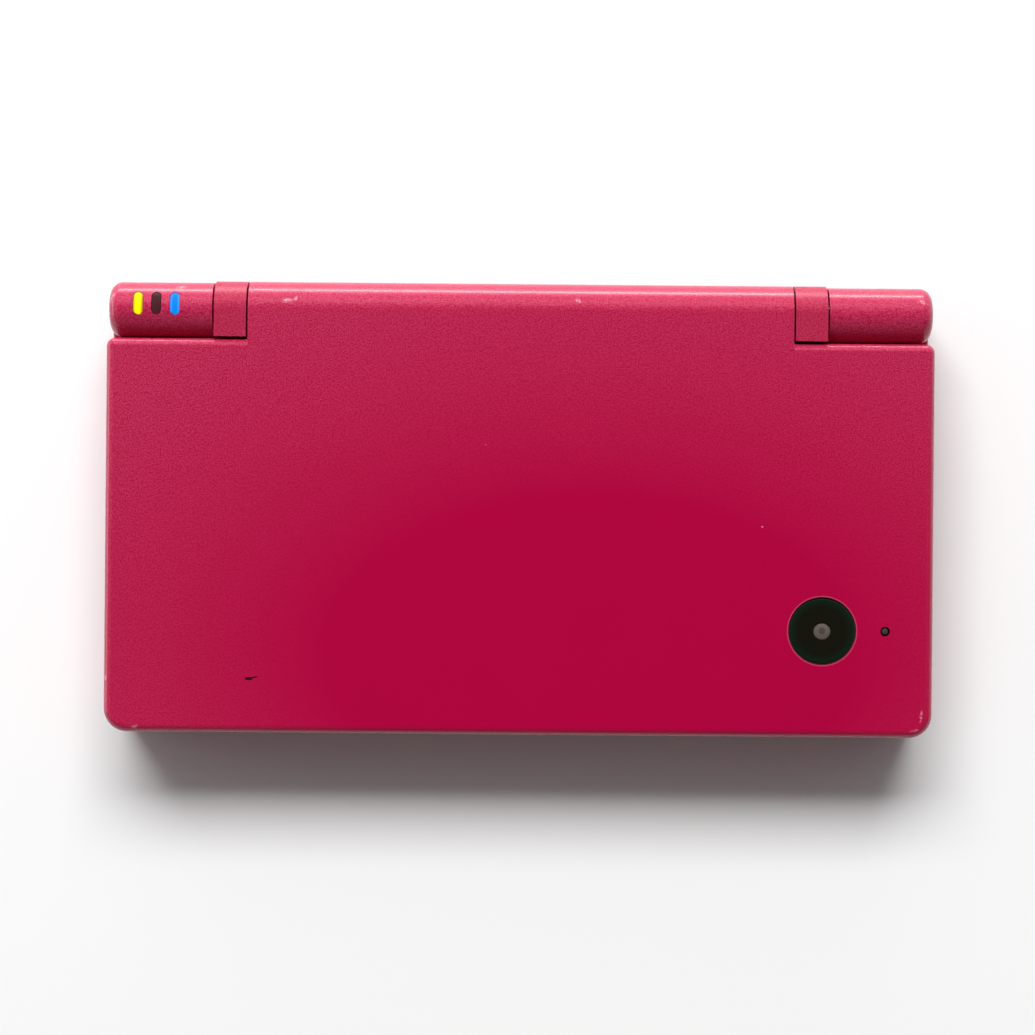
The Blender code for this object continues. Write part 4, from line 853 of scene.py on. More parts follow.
rubber = moulded_finish("black_rubber", *RUBBER)
steel = moulded_finish("plated_steel", *STEEL, metallic=1.0)
low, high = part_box(feet[0])
foot_place, radius = middle_of(feet[0]), radius_of(feet[0])
foot_model = add_turned("foot", "Z", foot_place, (
    (high.z, radius), (low.z + FOOT_EDGE, radius), (low.z + FOOT_EDGE / 3, radius - FOOT_EDGE / 3),
    (low.z, radius - FOOT_EDGE), (low.z, radius / 2), (low.z + FOOT_EDGE / 2, radius / 2 - FOOT_EDGE),
))
places = [(foot.replace("foot", "rubber_foot"), middle_of(foot) - foot_place, foot) for foot in feet]
repeat(foot_model, places, "base", rubber, "foot_rubber")
cross_long, cross_wide, cross_deep = CROSS_SIZE
for screws, head_share in ((case_screws, 1.0), (cover_screws, 0.5)):
    low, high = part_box(screws[0])
    place, radius = middle_of(screws[0]), radius_of(screws[0])
    head_top = low.z + HEAD_HEIGHT * head_share
    profile = [
        (low.z, radius - HEAD_EDGE), (low.z + HEAD_EDGE, radius),
        (head_top, radius), (head_top, SHANK_RADIUS),
    ]
    level = head_top + THREAD_PITCH
    while level + THREAD_PITCH < high.z:
        profile += [(level, SHANK_RADIUS), (level + THREAD_PITCH / 2, SHANK_RADIUS - THREAD_DEPTH)]
        level += THREAD_PITCH
    profile.append((high.z, SHANK_RADIUS / 2))
    screw_model = add_turned("screw", "Z", place, profile, sides=40)
    cross_low, cross_high = low.z - OVERRUN, low.z + cross_deep
    combine(screw_model, cross_bars("cross", place, cross_long / 2, cross_wide / 2, cross_low, cross_high))
    places = [(screw.replace("screw", "bolt"), middle_of(screw) - place, screw) for screw in screws]
    repeat(screw_model, places, "base", steel, "fasteners")


# Battery bay: a flat pink cover held by two screws, with grooves for a thumb near its rear edge, over a
# wrapped lithium cell that lies against the main board. The cell's wrap is bare here.
DOOR_EDGE = 0.00015
GRIP_LENGTH = 0.0100
GRIP_WIDTH = 0.0005
GRIP_DEPTH = 0.00025
GRIP_PITCH = 0.0011
GRIP_ROWS = 4
GRIP_INSET = 0.0016
WRAP = ((0.10, 0.105, 0.115, 1), (0.07, 0.074, 0.082, 1), 0.45, 0.0006, 0.000004)


def refinish(finish, *nodes):
    """Gives CAD nodes whose shape stays a better finish."""
    for node in nodes:
        mesh = frame["nodes"][node].data
        mesh.materials.clear()
        mesh.materials.append(finish)


door_low, door_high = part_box("battery_cover")
door = add_slab("battery_door", door_low, door_high, COVER_CORNER, bottom=DOOR_EDGE, edge_segments=2)
sinks = []
for screw in cover_screws:
    place = middle_of(screw)
    sink_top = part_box(screw)[0].z + HEAD_HEIGHT / 2 + GAP
    hole_top = door_high.z + OVERRUN
    sinks.append(add_rod("head_sink", "Z", place, -OVERRUN, sink_top, radius_of(screw) + GAP, sides=48))
    sinks.append(add_rod("shank_hole", "Z", place, 0, hole_top, SHANK_RADIUS + GAP, SMALL_SIDES))
grip_x = (door_low.x + door_high.x) / 2
for row in range(GRIP_ROWS):
    grip_y = door_high.y - GRIP_INSET - GRIP_PITCH * row
    sinks.append(add_slab(
        "grip", (grip_x - GRIP_LENGTH / 2, grip_y - GRIP_WIDTH / 2, 0),
        (grip_x + GRIP_LENGTH / 2, grip_y + GRIP_WIDTH / 2, door_low.z + GRIP_DEPTH),
        GRIP_WIDTH / 2 - NEAR, segments=6,
    ))
combine(door, sinks)
settle(door, "base", pink_paint, "case_pink", "battery_cover")
wrap = moulded_finish("battery_wrap", *WRAP)
refinish(wrap, "battery")


# Openings in the walls: a pressed steel card reader with gilt springs at the rear, a steel socket behind a
# pink flap on the right, and the headphone jack and power socket, moulded in black round their contacts.
SPRING_COUNT = 17
SPRING_PITCH = 0.0018
SPRING_SIZE = (0.0009, 0.0060, 0.0002)
SPRING_RISE = 0.0009
SPRING_CUTS = (0.2, 0.4, 0.6, 0.8)
FLAP_EDGE = 0.00012
FLAP_NOTCH = (0.0030, 0.0004, 0.0007)
FLAP_NOTCH_INSET = 0.0030
JACK_BORE_RADIUS = 0.00175
JACK_BORE_LENGTH = 0.0100
RING_INSET = 0.0001
PORT_WAY = (0.0062, 0.0055, 0.0023)
TONGUE = (0.0044, 0.0042, 0.0006)
PORT_PIN = (0.0005, 0.0036, 0.00012)
PORT_PIN_PITCH = 0.0011
PORT_PINS = 4
SOCKET_EDGE = 0.00012
BLACK_PLASTIC = ((0.020, 0.020, 0.022, 1), (0.014, 0.014, 0.015, 1), 0.45, 0.00025, 0.000003)
GILT = ((0.80, 0.55, 0.22, 1), (0.62, 0.42, 0.16, 1), 0.30, 0.0003, 0.0000005)
black_plastic = moulded_finish("black_plastic", *BLACK_PLASTIC)
gilt = moulded_finish("gilt_contact", *GILT, metallic=1.0)
refinish(steel, "card_reader", "memory_card_socket", "board_shield")


def add_spring(name, centre, size, rise):
    """A contact spring: a thin strip along Y, cut across and bent up in its middle."""
    low = [place - extent / 2 for place, extent in zip(centre, size)]
    high = [place + extent / 2 for place, extent in zip(centre, size)]
    strip = add_block(name, low, high)
    for share in SPRING_CUTS:
        pick(strip, "FACE", lambda face: True)
        bpy.ops.mesh.bisect(plane_co=(0, low[1] + size[1] * share, 0), plane_no=(0, 1, 0))
        bpy.ops.object.mode_set(mode="OBJECT")
    for corner in strip.data.vertices:
        corner.co.z += rise * sin(pi * (corner.co.y - low[1]) / size[1])
    return strip


spring_centre = (
    -SPRING_PITCH * (SPRING_COUNT - 1) / 2, reader_low.y + READER_SIDE + SPRING_SIZE[1], reader_low.z + NEAR,
)
spring_model = add_spring("spring", spring_centre, SPRING_SIZE, SPRING_RISE)
places = [(f"reader_spring_{number + 1}", (number * SPRING_PITCH, 0, 0)) for number in range(SPRING_COUNT)]
repeat(spring_model, places, "base", gilt, "pressed_metal")

flap = add_slab(
    "card_flap", flap_low, flap_high, FLAP_EDGE, top=FLAP_EDGE, bottom=FLAP_EDGE, segments=2, edge_segments=2,
)
long, deep, high_by = FLAP_NOTCH
notch_rear = flap_high.y - FLAP_NOTCH_INSET
combine(flap, [add_slab(
    "finger_notch", (flap_high.x - deep, notch_rear - long, flap_low.z - OVERRUN),
    (flap_high.x + OVERRUN, notch_rear, flap_low.z + high_by), deep / 2, segments=4,
)])
settle(flap, "memory_card_flap", pink_paint, "case_pink", "memory_card_flap")

jack_low, jack_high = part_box("headphone_jack")
jack_body = add_slab("jack_body", jack_low, jack_high, SOCKET_EDGE, segments=2)
bore_end = jack_low.y + JACK_BORE_LENGTH
combine(jack_body, [add_rod("bore", "Y", jack, jack_low.y - OVERRUN, bore_end, JACK_BORE_RADIUS)])
settle(jack_body, "base", black_plastic, "black_plastic", "headphone_jack")
ring_front, ring_rear = lower_low.y + RING_INSET, lower_low.y + WALL
jack_ring = add_rod("jack_ring", "Y", jack, ring_front, ring_rear, JACK_MOUTH_RADIUS - NEAR)
combine(jack_ring, [add_rod("bore", "Y", jack, ring_front - OVERRUN, ring_rear + OVERRUN, JACK_BORE_RADIUS)])
settle(jack_ring, "base", gilt, "pressed_metal")

port_body_low, port_body_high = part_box("power_socket")
port_body = add_slab("port_body", port_body_low, port_body_high, SOCKET_EDGE, segments=2)
way_wide, way_deep, way_high = PORT_WAY
way_front = port_body_high.y - way_deep
combine(port_body, [add_block(
    "way", (port.x - way_wide / 2, way_front, port.z - way_high / 2),
    (port.x + way_wide / 2, port_body_high.y + OVERRUN, port.z + way_high / 2),
)])
tongue_wide, tongue_deep, tongue_high = TONGUE
combine(port_body, [add_block(
    "tongue", (port.x - tongue_wide / 2, way_front - OVERRUN, port.z - tongue_high / 2),
    (port.x + tongue_wide / 2, way_front + tongue_deep, port.z + tongue_high / 2),
)], "UNION")
settle(port_body, "base", black_plastic, "black_plastic", "power_socket")
pin_wide, pin_deep, pin_high = PORT_PIN
for number in range(PORT_PINS):
    pin_x = port.x + (number - (PORT_PINS - 1) / 2) * PORT_PIN_PITCH
    pin_low = (pin_x - pin_wide / 2, way_front + GAP, port.z + tongue_high / 2 - pin_high / 2)
    pin_end = (pin_x + pin_wide / 2, way_front + GAP + pin_deep, pin_low[2] + pin_high)
    pin = add_slab(f"port_pin_{number + 1}", pin_low, pin_end, 0, pin_wide / 3, segments=3)
    settle(pin, "base", gilt, "pressed_metal")


# Stylus: a round moulded pen that slides out through the right wall. Its tip tapers to a small round point,
# and its outer end has a groove for a fingernail.
TIP_LENGTH = 0.0060
TIP_RADIUS = 0.0006
STYLUS_EDGE = 0.0004
NAIL_GROOVE = (0.0030, 0.0012, 0.0003)
STYLUS = ((0.030, 0.030, 0.033, 1), (0.022, 0.022, 0.024, 1), 0.40, 0.00025, 0.000003)
start, end = stylus_low.x, stylus_high.x
groove_from_end, groove_length, groove_depth = NAIL_GROOVE
groove_end = end - groove_from_end
stylus = add_turned("touch_stylus", "X", middle_of("stylus"), (
    (start, TIP_RADIUS * 0.5), (start + TIP_RADIUS / 4, TIP_RADIUS * 0.85),
    (start + TIP_RADIUS / 2, TIP_RADIUS), (start + TIP_LENGTH / 2, 2 * TIP_RADIUS),
    (start + TIP_LENGTH * 0.9, stylus_radius * 0.96),
    (start + TIP_LENGTH, stylus_radius), (groove_end - groove_length, stylus_radius),
    (groove_end - groove_length * 0.75, stylus_radius - groove_depth),
    (groove_end - groove_length * 0.25, stylus_radius - groove_depth), (groove_end, stylus_radius),
    (end - STYLUS_EDGE, stylus_radius), (end - STYLUS_EDGE / 3, stylus_radius - STYLUS_EDGE / 3),
    (end, stylus_radius - STYLUS_EDGE),
), sides=48)
stylus_plastic = moulded_finish("stylus_plastic", *STYLUS)
settle(stylus, "stylus", stylus_plastic, "stylus_plastic", "stylus")


# Keys in the walls: a pink shoulder button at each rear corner, which swings on an upright steel pin near its
# inner end, and a pink rocker in the left wall for the volume, with a groove between its two halves.
SHOULDER_CORNER = 0.0022
SHOULDER_EDGE = 0.0004
ROCKER_CORNER = 0.0006
ROCKER_EDGE = 0.0002
ROCKER_GROOVE = (0.0006, 0.00025)
for side in ("left", "right"):
    button, pin = f"shoulder_button_{side}", f"shoulder_pin_{side}"
    low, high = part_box(button)
    pin_low, pin_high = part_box(pin)
    pin_place, pin_radius = middle_of(pin), radius_of(pin)
    key = add_block(f"shoulder_key_{side}", low, high)
    outer_x = high.x if side == "right" else low.x

    def at_outer_rear(edge):
        corner = edge.verts[0].co
        return is_upright(edge) and abs(corner.x - outer_x) < NEAR and abs(corner.y - high.y) < NEAR
    round_edges(key, at_outer_rear, SHOULDER_CORNER, 10)
    round_edges(key, is_sharp, SHOULDER_EDGE, 4)
    bore_low, bore_top = low.z - OVERRUN, high.z + OVERRUN
    combine(key, [add_rod("pin_bore", "Z", pin_place, bore_low, bore_top, pin_radius + GAP, SMALL_SIDES)])
    settle(key, button, pink_paint, "case_pink", button)
    chamfer = pin_radius / 4
    shaft = add_turned(f"pivot_pin_{side}", "Z", pin_place, (
        (pin_low.z, pin_radius - chamfer), (pin_low.z + chamfer, pin_radius),
        (pin_high.z - chamfer, pin_radius), (pin_high.z, pin_radius - chamfer),
    ), SMALL_SIDES)
    settle(shaft, "base", steel, "fasteners", pin)

rocker = add_slab(
    "volume_key", rocker_low, rocker_high, ROCKER_CORNER, top=ROCKER_EDGE, bottom=ROCKER_EDGE, segments=6,
    edge_segments=3,
)
groove_wide, groove_deep = ROCKER_GROOVE
rocker_y = (rocker_low.y + rocker_high.y) / 2
combine(rocker, [add_block(
    "groove", (rocker_low.x - OVERRUN, rocker_y - groove_wide / 2, rocker_low.z - OVERRUN),
    (rocker_low.x + groove_deep, rocker_y + groove_wide / 2, rocker_high.z + OVERRUN),
)])
settle(rocker, "volume_rocker", pink_paint, "case_pink", "volume_rocker")


# Boards: the main board hangs under the deck on the posts, and the wireless board lies on the floor. Both are
# glass fibre under a green solder mask, through which the copper tracks show, with tinned pads.
MASK_GREEN = (0.010, 0.085, 0.032, 1)
TRACK_GREEN = (0.022, 0.170, 0.060, 1)
PAD_TIN = (0.62, 0.58, 0.50, 1)
PATCH_SIZE = 0.0050
TRACK_SPACING = 0.0006
TRACK_SHARE = 0.55
TRACK_HEIGHT = 0.00003
PAD_SPACING = 0.0021
PAD_RADIUS = 0.15
PAD_METALLIC = 0.9
PAD_ROUGHER = 0.08
MASK_ROUGHNESS = 0.30
board_finish, tree, shader = new_finish("circuit_board")
place = own_place(tree)
patch = add_node(
    tree, "TexVoronoi", {"Vector": place, "Scale": 1 / PATCH_SIZE, "Randomness": 0.6}, distance="CHEBYCHEV",
)
along = add_node(tree, "SeparateXYZ", {0: place}).outputs
patch_tone = add_node(tree, "SeparateColor", {0: patch.outputs["Color"]}).outputs[0]
turned_patch = maths(tree, "GREATER_THAN", patch_tone, 0.5)
across = add_node(tree, "Mix", {0: turned_patch, 2: along["X"], 3: along["Y"]}, data_type="FLOAT").outputs[0]
stripe = maths(tree, "FRACT", maths(tree, "DIVIDE", across, TRACK_SPACING))
track = maths(tree, "LESS_THAN", stripe, TRACK_SHARE)
pads = add_node(tree, "TexVoronoi", {"Vector": place, "Scale": 1 / PAD_SPACING, "Randomness": 0.35})
pad = maths(tree, "LESS_THAN", pads.outputs["Distance"], PAD_RADIUS)
coated = blended(tree, track, MASK_GREEN, TRACK_GREEN)
tree.links.new(blended(tree, pad, coated, PAD_TIN), shader["Base Color"])
tree.links.new(maths(tree, "MULTIPLY", pad, PAD_METALLIC), shader["Metallic"])
tree.links.new(maths(tree, "MULTIPLY_ADD", pad, PAD_ROUGHER, MASK_ROUGHNESS), shader["Roughness"])
raised = add_node(tree, "Bump", {"Height": maths(tree, "MAXIMUM", track, pad), "Distance": TRACK_HEIGHT})
tree.links.new(raised.outputs[0], shader["Normal"])
refinish(board_finish, "main_board", "wireless_board")


# Screens: two display modules in folded metal frames, with a touch panel flush in the deck over the lower
# one, and a window let into the lid's frame under the upper one. Both are black round a dark picture.
GLASS_EDGE = 0.00012
BORDER_BLACK = (0.0035, 0.0035, 0.004, 1)
PICTURE_GREY = (0.016, 0.019, 0.022, 1)
PIXEL_PITCH = 0.00026
PIXEL_GAP = 0.18
PIXEL_CONTRAST = 0.25
SMUDGE_SIZE = 0.018
SMUDGE_START = 0.45
SMUDGE_END = 0.75
SMUDGE_ROUGHNESS = 0.12
# Half width, half height and roughness of each picture
TOUCH_PICTURE = (0.0310, 0.0233, 0.20)
WINDOW_PICTURE = (0.0330, 0.0233, 0.06)
DISPLAY_METAL = ((0.50, 0.51, 0.53, 1), (0.38, 0.39, 0.41, 1), 0.35, 0.0005, 0.000001)
screen, given, result = new_group(
    "picture_area",
    {
        "Middle Y": ("Float", 0.0),
        "Half Width": ("Float", WINDOW_PICTURE[0]),
        "Half Height": ("Float", WINDOW_PICTURE[1]),
        "Smooth Roughness": ("Float", WINDOW_PICTURE[2]),
    },
    {"Colour": "Color", "Roughness": "Float"},
)
place = own_place(screen)
along = add_node(screen, "SeparateXYZ", {0: place}).outputs
across = maths(screen, "ABSOLUTE", along["X"])
from_middle = maths(screen, "ABSOLUTE", maths(screen, "SUBTRACT", along["Y"], given["Middle Y"]))
in_width = maths(screen, "LESS_THAN", across, given["Half Width"])
in_height = maths(screen, "LESS_THAN", from_middle, given["Half Height"])
inside = maths(screen, "MULTIPLY", in_width, in_height)
columns, rows = (
    maths(screen, "LESS_THAN", maths(screen, "FRACT", maths(screen, "DIVIDE", way, PIXEL_PITCH)), PIXEL_GAP)
    for way in (along["X"], along["Y"])
)
gaps = maths(screen, "MAXIMUM", columns, rows)
lit_share = maths(screen, "MULTIPLY", inside, maths(screen, "MULTIPLY_ADD", gaps, -PIXEL_CONTRAST, 1.0))
screen.links.new(blended(screen, lit_share, BORDER_BLACK, PICTURE_GREY), result["Colour"])
smudge = noise(screen, place, 1 / SMUDGE_SIZE, detail=5.0)
spread = ranged(screen, smudge, SMUDGE_START, SMUDGE_END, last=SMUDGE_ROUGHNESS)
screen.links.new(maths(screen, "ADD", given["Smooth Roughness"], spread), result["Roughness"])


def glass_finish(name, group, *surface):
    """A material whose colour and roughness come from a node group with its own values."""
    material, tree, shader = new_finish(name)
    look = add_group(tree, group, *surface)
    tree.links.new(look["Colour"], shader["Base Color"])
    tree.links.new(look["Roughness"], shader["Roughness"])
    return material


display_metal = moulded_finish("display_frame", *DISPLAY_METAL, metallic=1.0)
refinish(display_metal, "touch_display", "upper_display")
low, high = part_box("touch_panel")
touch = add_slab("touch_surface", low, high, PANEL_CORNER, top=GLASS_EDGE, segments=6, edge_segments=2)
touch_film = glass_finish("touch_film", screen, (low.y + high.y) / 2, *TOUCH_PICTURE)
settle(touch, "base", touch_film, "screen_glass", "touch_panel")
low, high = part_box("upper_window")
window = add_slab("screen_window", low, high, WINDOW_CORNER, bottom=GLASS_EDGE, segments=6, edge_segments=2)
window_glass = glass_finish("window_glass", screen, (low.y + high.y) / 2, *WINDOW_PICTURE)
settle(window, "lid", window_glass, "screen_glass", "upper_window")


# Keys on the deck: a cross pad that rocks on a post, four action buttons and three small ones, moulded in
# glossy black with a flange that keeps them in. Each stands on grey rubber, and their tops carry no letters.
KEY_EDGE = 0.0004
DISH_DEPTH = 0.0002
DISH_RADIUS = 0.0024
PAD_FLANGE_RADIUS = 0.0075
PAD_FLANGE_TOP = 0.0005
PAD_FLANGE_FLAT = 0.0050
PAD_FLANGE_RISE = 0.00022
KEY_FLANGE_HEIGHT = 0.0006
ARROW_RADIUS = 0.0011
ARROW_DEPTH = 0.00015
ARROW_INSET = 0.0024
CROWN = 0.00025
ARROW_SIDES = 3
FACING = 0.9
# Shares of the edge's radius, down from the top and inward from the side, at each ring of the round edge
EDGE_RINGS = ((0.62, 0.08), (0.29, 0.29), (0.08, 0.62))
CROWN_RINGS = ((0.64, 0.60), (0.20, 0.35), (0, 0.10))
DISH_RINGS = (0.15, 0.4, 0.6, 0.8, 1, 1.2)
KEY_BLACK = ((0.020, 0.020, 0.022, 1), (0.015, 0.015, 0.016, 1), 0.24, 0.0004, 0.000001)
GREY_RUBBER = ((0.20, 0.20, 0.21, 1), (0.15, 0.15, 0.16, 1), 0.75, 0.0003, 0.000005)
key_plastic = moulded_finish("key_plastic", *KEY_BLACK)
grey_rubber = moulded_finish("grey_rubber", *GREY_RUBBER)
pad_low, pad_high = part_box("dpad")
pad_place = middle_of("dpad")
arm_bottom = pad_low.z + PAD_FLANGE_TOP - 2 * NEAR
cross_pad = add_block(
    "cross_pad", (pad_place.x - half_arm, pad_place.y - half_arm, arm_bottom),
    (pad_place.x + half_arm, pad_place.y + half_arm, pad_high.z),
)
for way in (Vector((1, 0, 0)), Vector((-1, 0, 0)), Vector((0, 1, 0)), Vector((0, -1, 0))):
    arm_start = pad_place + way * half_arm

    def faces_way(face):
        return face.normal.dot(way) > FACING and (face.calc_center_median() - arm_start).xy.length < NEAR

    pick(cross_pad, "FACE", faces_way)
    bpy.ops.mesh.extrude_region_move(TRANSFORM_OT_translate={"value": way * (DPAD_SPAN - DPAD_ARM) / 2})
    bpy.ops.object.mode_set(mode="OBJECT")


def at_arm_end(edge):
    away = edge.verts[0].co - pad_place
    return is_upright(edge) and max(abs(away.x), abs(away.y)) > DPAD_SPAN / 2 - NEAR


round_edges(cross_pad, at_arm_end, DPAD_CORNER, 6)
round_rims(cross_pad, pad_high.z, width=KEY_EDGE, segments=4)
pad_flange = add_turned("pad_flange", "Z", pad_place, (
    (pad_low.z, PAD_FLANGE_FLAT), (pad_low.z + PAD_FLANGE_RISE, PAD_FLANGE_RADIUS),
    (pad_low.z + PAD_FLANGE_TOP, PAD_FLANGE_RADIUS),
), ROUND_SIDES)
combine(cross_pad, [pad_flange], "UNION")
hollows = [add_turned("dish", "Z", pad_place, [
    (pad_high.z + (share ** 2 - 1) * DISH_DEPTH, DISH_RADIUS * share) for share in DISH_RINGS
])]
arrow_reach = DPAD_SPAN / 2 - ARROW_INSET
for turn in range(4):
    angle = turn * pi / 2
    tip = pad_place + Vector((-arrow_reach * sin(angle), arrow_reach * cos(angle), pad_high.z - pad_place.z))
    hollows.append(add_bar("arrow", ARROW_SIDES, ARROW_RADIUS, 2 * ARROW_DEPTH, tip, (0, 0, angle)))
combine(cross_pad, hollows)
settle(cross_pad, "dpad", key_plastic, "button_plastic", "dpad")
for button in push_buttons:
    low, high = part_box(button)
    place, flange_radius = middle_of(button), radius_of(button)
    radius = flange_radius - BUTTON_FLANGE
    crown = CROWN * radius / DISH_RADIUS
    shoulder = high.z - crown
    key = add_turned(button.replace("button", "key"), "Z", place, [
        (low.z, flange_radius), (low.z + KEY_FLANGE_HEIGHT, flange_radius),
        (low.z + KEY_FLANGE_HEIGHT, radius), (shoulder - KEY_EDGE, radius),
        *((shoulder - KEY_EDGE * down, radius - KEY_EDGE * inward) for down, inward in EDGE_RINGS),
        *rings(high.z, crown, radius, CROWN_RINGS),
    ], sides=72)
    settle(key, button, key_plastic, "button_plastic", button)
refinish(grey_rubber, "action_mat", "dpad_mat", "small_button_mat", "power_button_mat")
refinish(black_plastic, "dpad_pivot")


# Status lights: three bars of clear-tinted plastic let into the round top of the left barrel. The charge
# light glows yellow, the middle one is dark, and the wireless one glows blue.
LIGHT_SUNK = 0.00005
LIGHT_EDGE = 0.00010
UNLIT_SHARE = 0.1
RIM_START = 0.00035
RIM_END = 0.00072
light_tones = {
    "charge_light": ("yellow_light", "light_yellow", (1.0, 0.98, 0.0, 1), (0.30, 0.27, 0.0, 1)),
    "power_light": ("dark_light", "light_dark", (0.070, 0.016, 0.022, 1), (0.030, 0.008, 0.010, 1)),
    "wireless_light": ("blue_light", "light_blue", (0.0, 0.27, 0.90, 1), (0.05, 0.16, 0.70, 1)),
}
lit_bar, given, result = new_group(
    "lit_bar",
    {"Middle X": ("Float", 0.0), "Glow": ("Color", PINK), "Body": ("Color", PINK), "Rim": ("Color", PINK)},
    {"Glow": "Color", "Body": "Color"},
)
along = add_node(lit_bar, "SeparateXYZ", {0: own_place(lit_bar)}).outputs
from_middle = maths(lit_bar, "ABSOLUTE", maths(lit_bar, "SUBTRACT", along["X"], given["Middle X"]))
share = ranged(lit_bar, from_middle, RIM_START, RIM_END)
lit_bar.links.new(blended(lit_bar, share, given["Glow"], given["Rim"]), result["Glow"])
lit_bar.links.new(blended(lit_bar, share, given["Body"], given["Rim"]), result["Body"])
for light in status_lights:
    name, slot, glow, rim = light_tones[light]
    low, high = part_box(light)
    place = middle_of(light)
    lens_end = (high.x, high.y, high.z + OVERRUN)
    lens = add_slab(f"{name}_lens", low, lens_end, (high.x - low.x) / 2 - NEAR, segments=8)
    skin = add_rod(
        "barrel_skin", "X", hinge, low.x - OVERRUN, high.x + OVERRUN, barrel_radius - LIGHT_SUNK, ROUND_SIDES,
    )
    combine(lens, [skin], "INTERSECT")
    crown_low = place.z - OVERRUN / 2
    round_edges(
        lens, lambda edge: is_sharp(edge) and all(corner.co.z > crown_low for corner in edge.verts),
        LIGHT_EDGE, 2,
    )
    tinted, tree, shader = new_finish(name, Roughness=0.45, Specular_IOR_Level=0.2, Emission_Strength=0.92)
    unlit = (*(UNLIT_SHARE * part for part in glow[:3]), 1)
    look = add_group(tree, lit_bar, place.x, glow, unlit, rim)
    tree.links.new(look["Glow"], shader["Emission Color"])
    tree.links.new(look["Body"], shader["Base Color"])
    settle(lens, "base", tinted, slot, light)


# Hinge: a plated friction clutch in the right barrel and a black bush in the left one, whose short shafts
# carry the cheeks of the lid. The screen's ribbon is rolled in a grey sleeve and passes through the bush.
SLEEVE = ((0.13, 0.13, 0.14, 1), (0.09, 0.09, 0.10, 1), 0.55, 0.0003, 0.000006)
sleeve = moulded_finish("cable_sleeve", *SLEEVE)
refinish(steel, "hinge_clutch")
refinish(black_plastic, "hinge_bush")
refinish(sleeve, "hinge_cable")


# Speakers and stops in the lid: a black speaker behind each set of slots, and four small rubber stops let
# into the recess of the inner frame, which keep the closed lid off the deck when it is pressed.
CLOTH = ((0.018, 0.018, 0.019, 1), (0.045, 0.045, 0.046, 1), 0.8, 0.00035, 0.00004)
STOP_RADIUS = 0.0017
STOP_HEIGHT = 0.0007
STOP_RINGS = ((0.7, 1), (0.92, 0.86), (1, 0.62))
STOP_PLACES = ((-0.0615, -0.0305), (0.0615, -0.0305), (-0.0615, 0.0205), (0.0615, 0.0205))
speaker_cloth = moulded_finish("speaker_cloth", *CLOTH)
refinish(speaker_cloth, "speaker_left", "speaker_right")
stop_model = add_turned("stop", "Z", (0, 0, 0), (
    (recess_top + NEAR, STOP_RADIUS), *rings(recess_top, STOP_HEIGHT, STOP_RADIUS, STOP_RINGS),
), sides=40)
places = [(f"lid_stop_{number + 1}", (x, y, 0)) for number, (x, y) in enumerate(STOP_PLACES)]
repeat(stop_model, places, "lid", rubber, "foot_rubber")


# Cameras: the outer one looks through a black window let into a round pocket of the cover, with a pinhole
# light beside it. The inner one sits in the underside of the roll, and faces the player when the lid is open.
WINDOW_EDGE = 0.00015
GASKET_SUNK = 0.00035
APERTURE_RADIUS = 0.00145
LENS_RADIUS = 0.00142
LENS_BARREL_RADIUS = 0.0022
LENS_SUNK = 0.00012
LENS_CROWN = 0.00022
LENS_RINGS = ((0.5, 0.78), (0.15, 0.42), (0, 0.12))
PIPE_RINGS = ((0.5, 1), (0.2, 0.85), (0, 0.5))
EYE_RINGS = ((0, 0.6), (1, 0.5), (0.6, 0.3), (0.4, 0.1))
GLASS_BLACK = (0.0078, 0.0078, 0.0048, 1)
GLASS_RIM = (0.0060, 0.0160, 0.0085, 1)
LENS_BROWN = (0.120, 0.098, 0.085, 1)
LENS_CORE = (0.070, 0.056, 0.048, 1)
PIPE_GREY = (0.045, 0.045, 0.038, 1)
PIPE_RIM = (0.012, 0.012, 0.010, 1)
# Radii between which the colour of each glass turns from its core to its rim
WINDOW_RING = (0.0040, 0.0053)
LENS_RING = (0.0004, 0.0007)
PIPE_RING = (0.0003, 0.0006)
EYE_RING = (0.0005, 0.0010)
GLASS_ROUGHNESS = 0.03
DUST_ROUGHNESS = 0.10
ringed, given, result = new_group(
    "ringed_glass",
    {
        "Middle": ("Vector", (0, 0, 0)),
        "Inner Radius": ("Float", WINDOW_RING[0]),
        "Outer Radius": ("Float", WINDOW_RING[1]),
        "Core": ("Color", GLASS_BLACK),
        "Rim": ("Color", GLASS_RIM),
    },
    {"Colour": "Color", "Roughness": "Float"},
)
place = own_place(ringed)
local = vectors(ringed, "SUBTRACT", place, given["Middle"])[0]
reach = vectors(ringed, "LENGTH", vectors(ringed, "MULTIPLY", local, (1, 1, 0))[0])["Value"]
share = ranged(ringed, reach, given["Inner Radius"], given["Outer Radius"])
ringed.links.new(blended(ringed, share, given["Core"], given["Rim"]), result["Colour"])
dust = noise(ringed, place, 1 / SMUDGE_SIZE, detail=6.0)
dulled = maths(ringed, "MULTIPLY_ADD", dust, DUST_ROUGHNESS, GLASS_ROUGHNESS)
ringed.links.new(dulled, result["Roughness"])
window_low, window_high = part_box("camera_window")
window_radius = radius_of("camera_window")
camera_glass = glass_finish("camera_glass", ringed, camera, *WINDOW_RING, GLASS_BLACK, GLASS_RIM)
disc = add_turned("camera_disc", "Z", camera, (
    (window_low.z, window_radius), (window_high.z - WINDOW_EDGE, window_radius),
    (window_high.z - WINDOW_EDGE / 3, window_radius - WINDOW_EDGE / 3),
    (window_high.z, window_radius - WINDOW_EDGE),
), ROUND_SIDES)
sight_cone = add_turned("sight_cone", "Z", camera, (
    (window_low.z - OVERRUN, APERTURE_RADIUS), (window_high.z - LENS_SUNK, APERTURE_RADIUS),
    (window_high.z + OVERRUN, APERTURE_RADIUS + LENS_SUNK),
), sides=64)
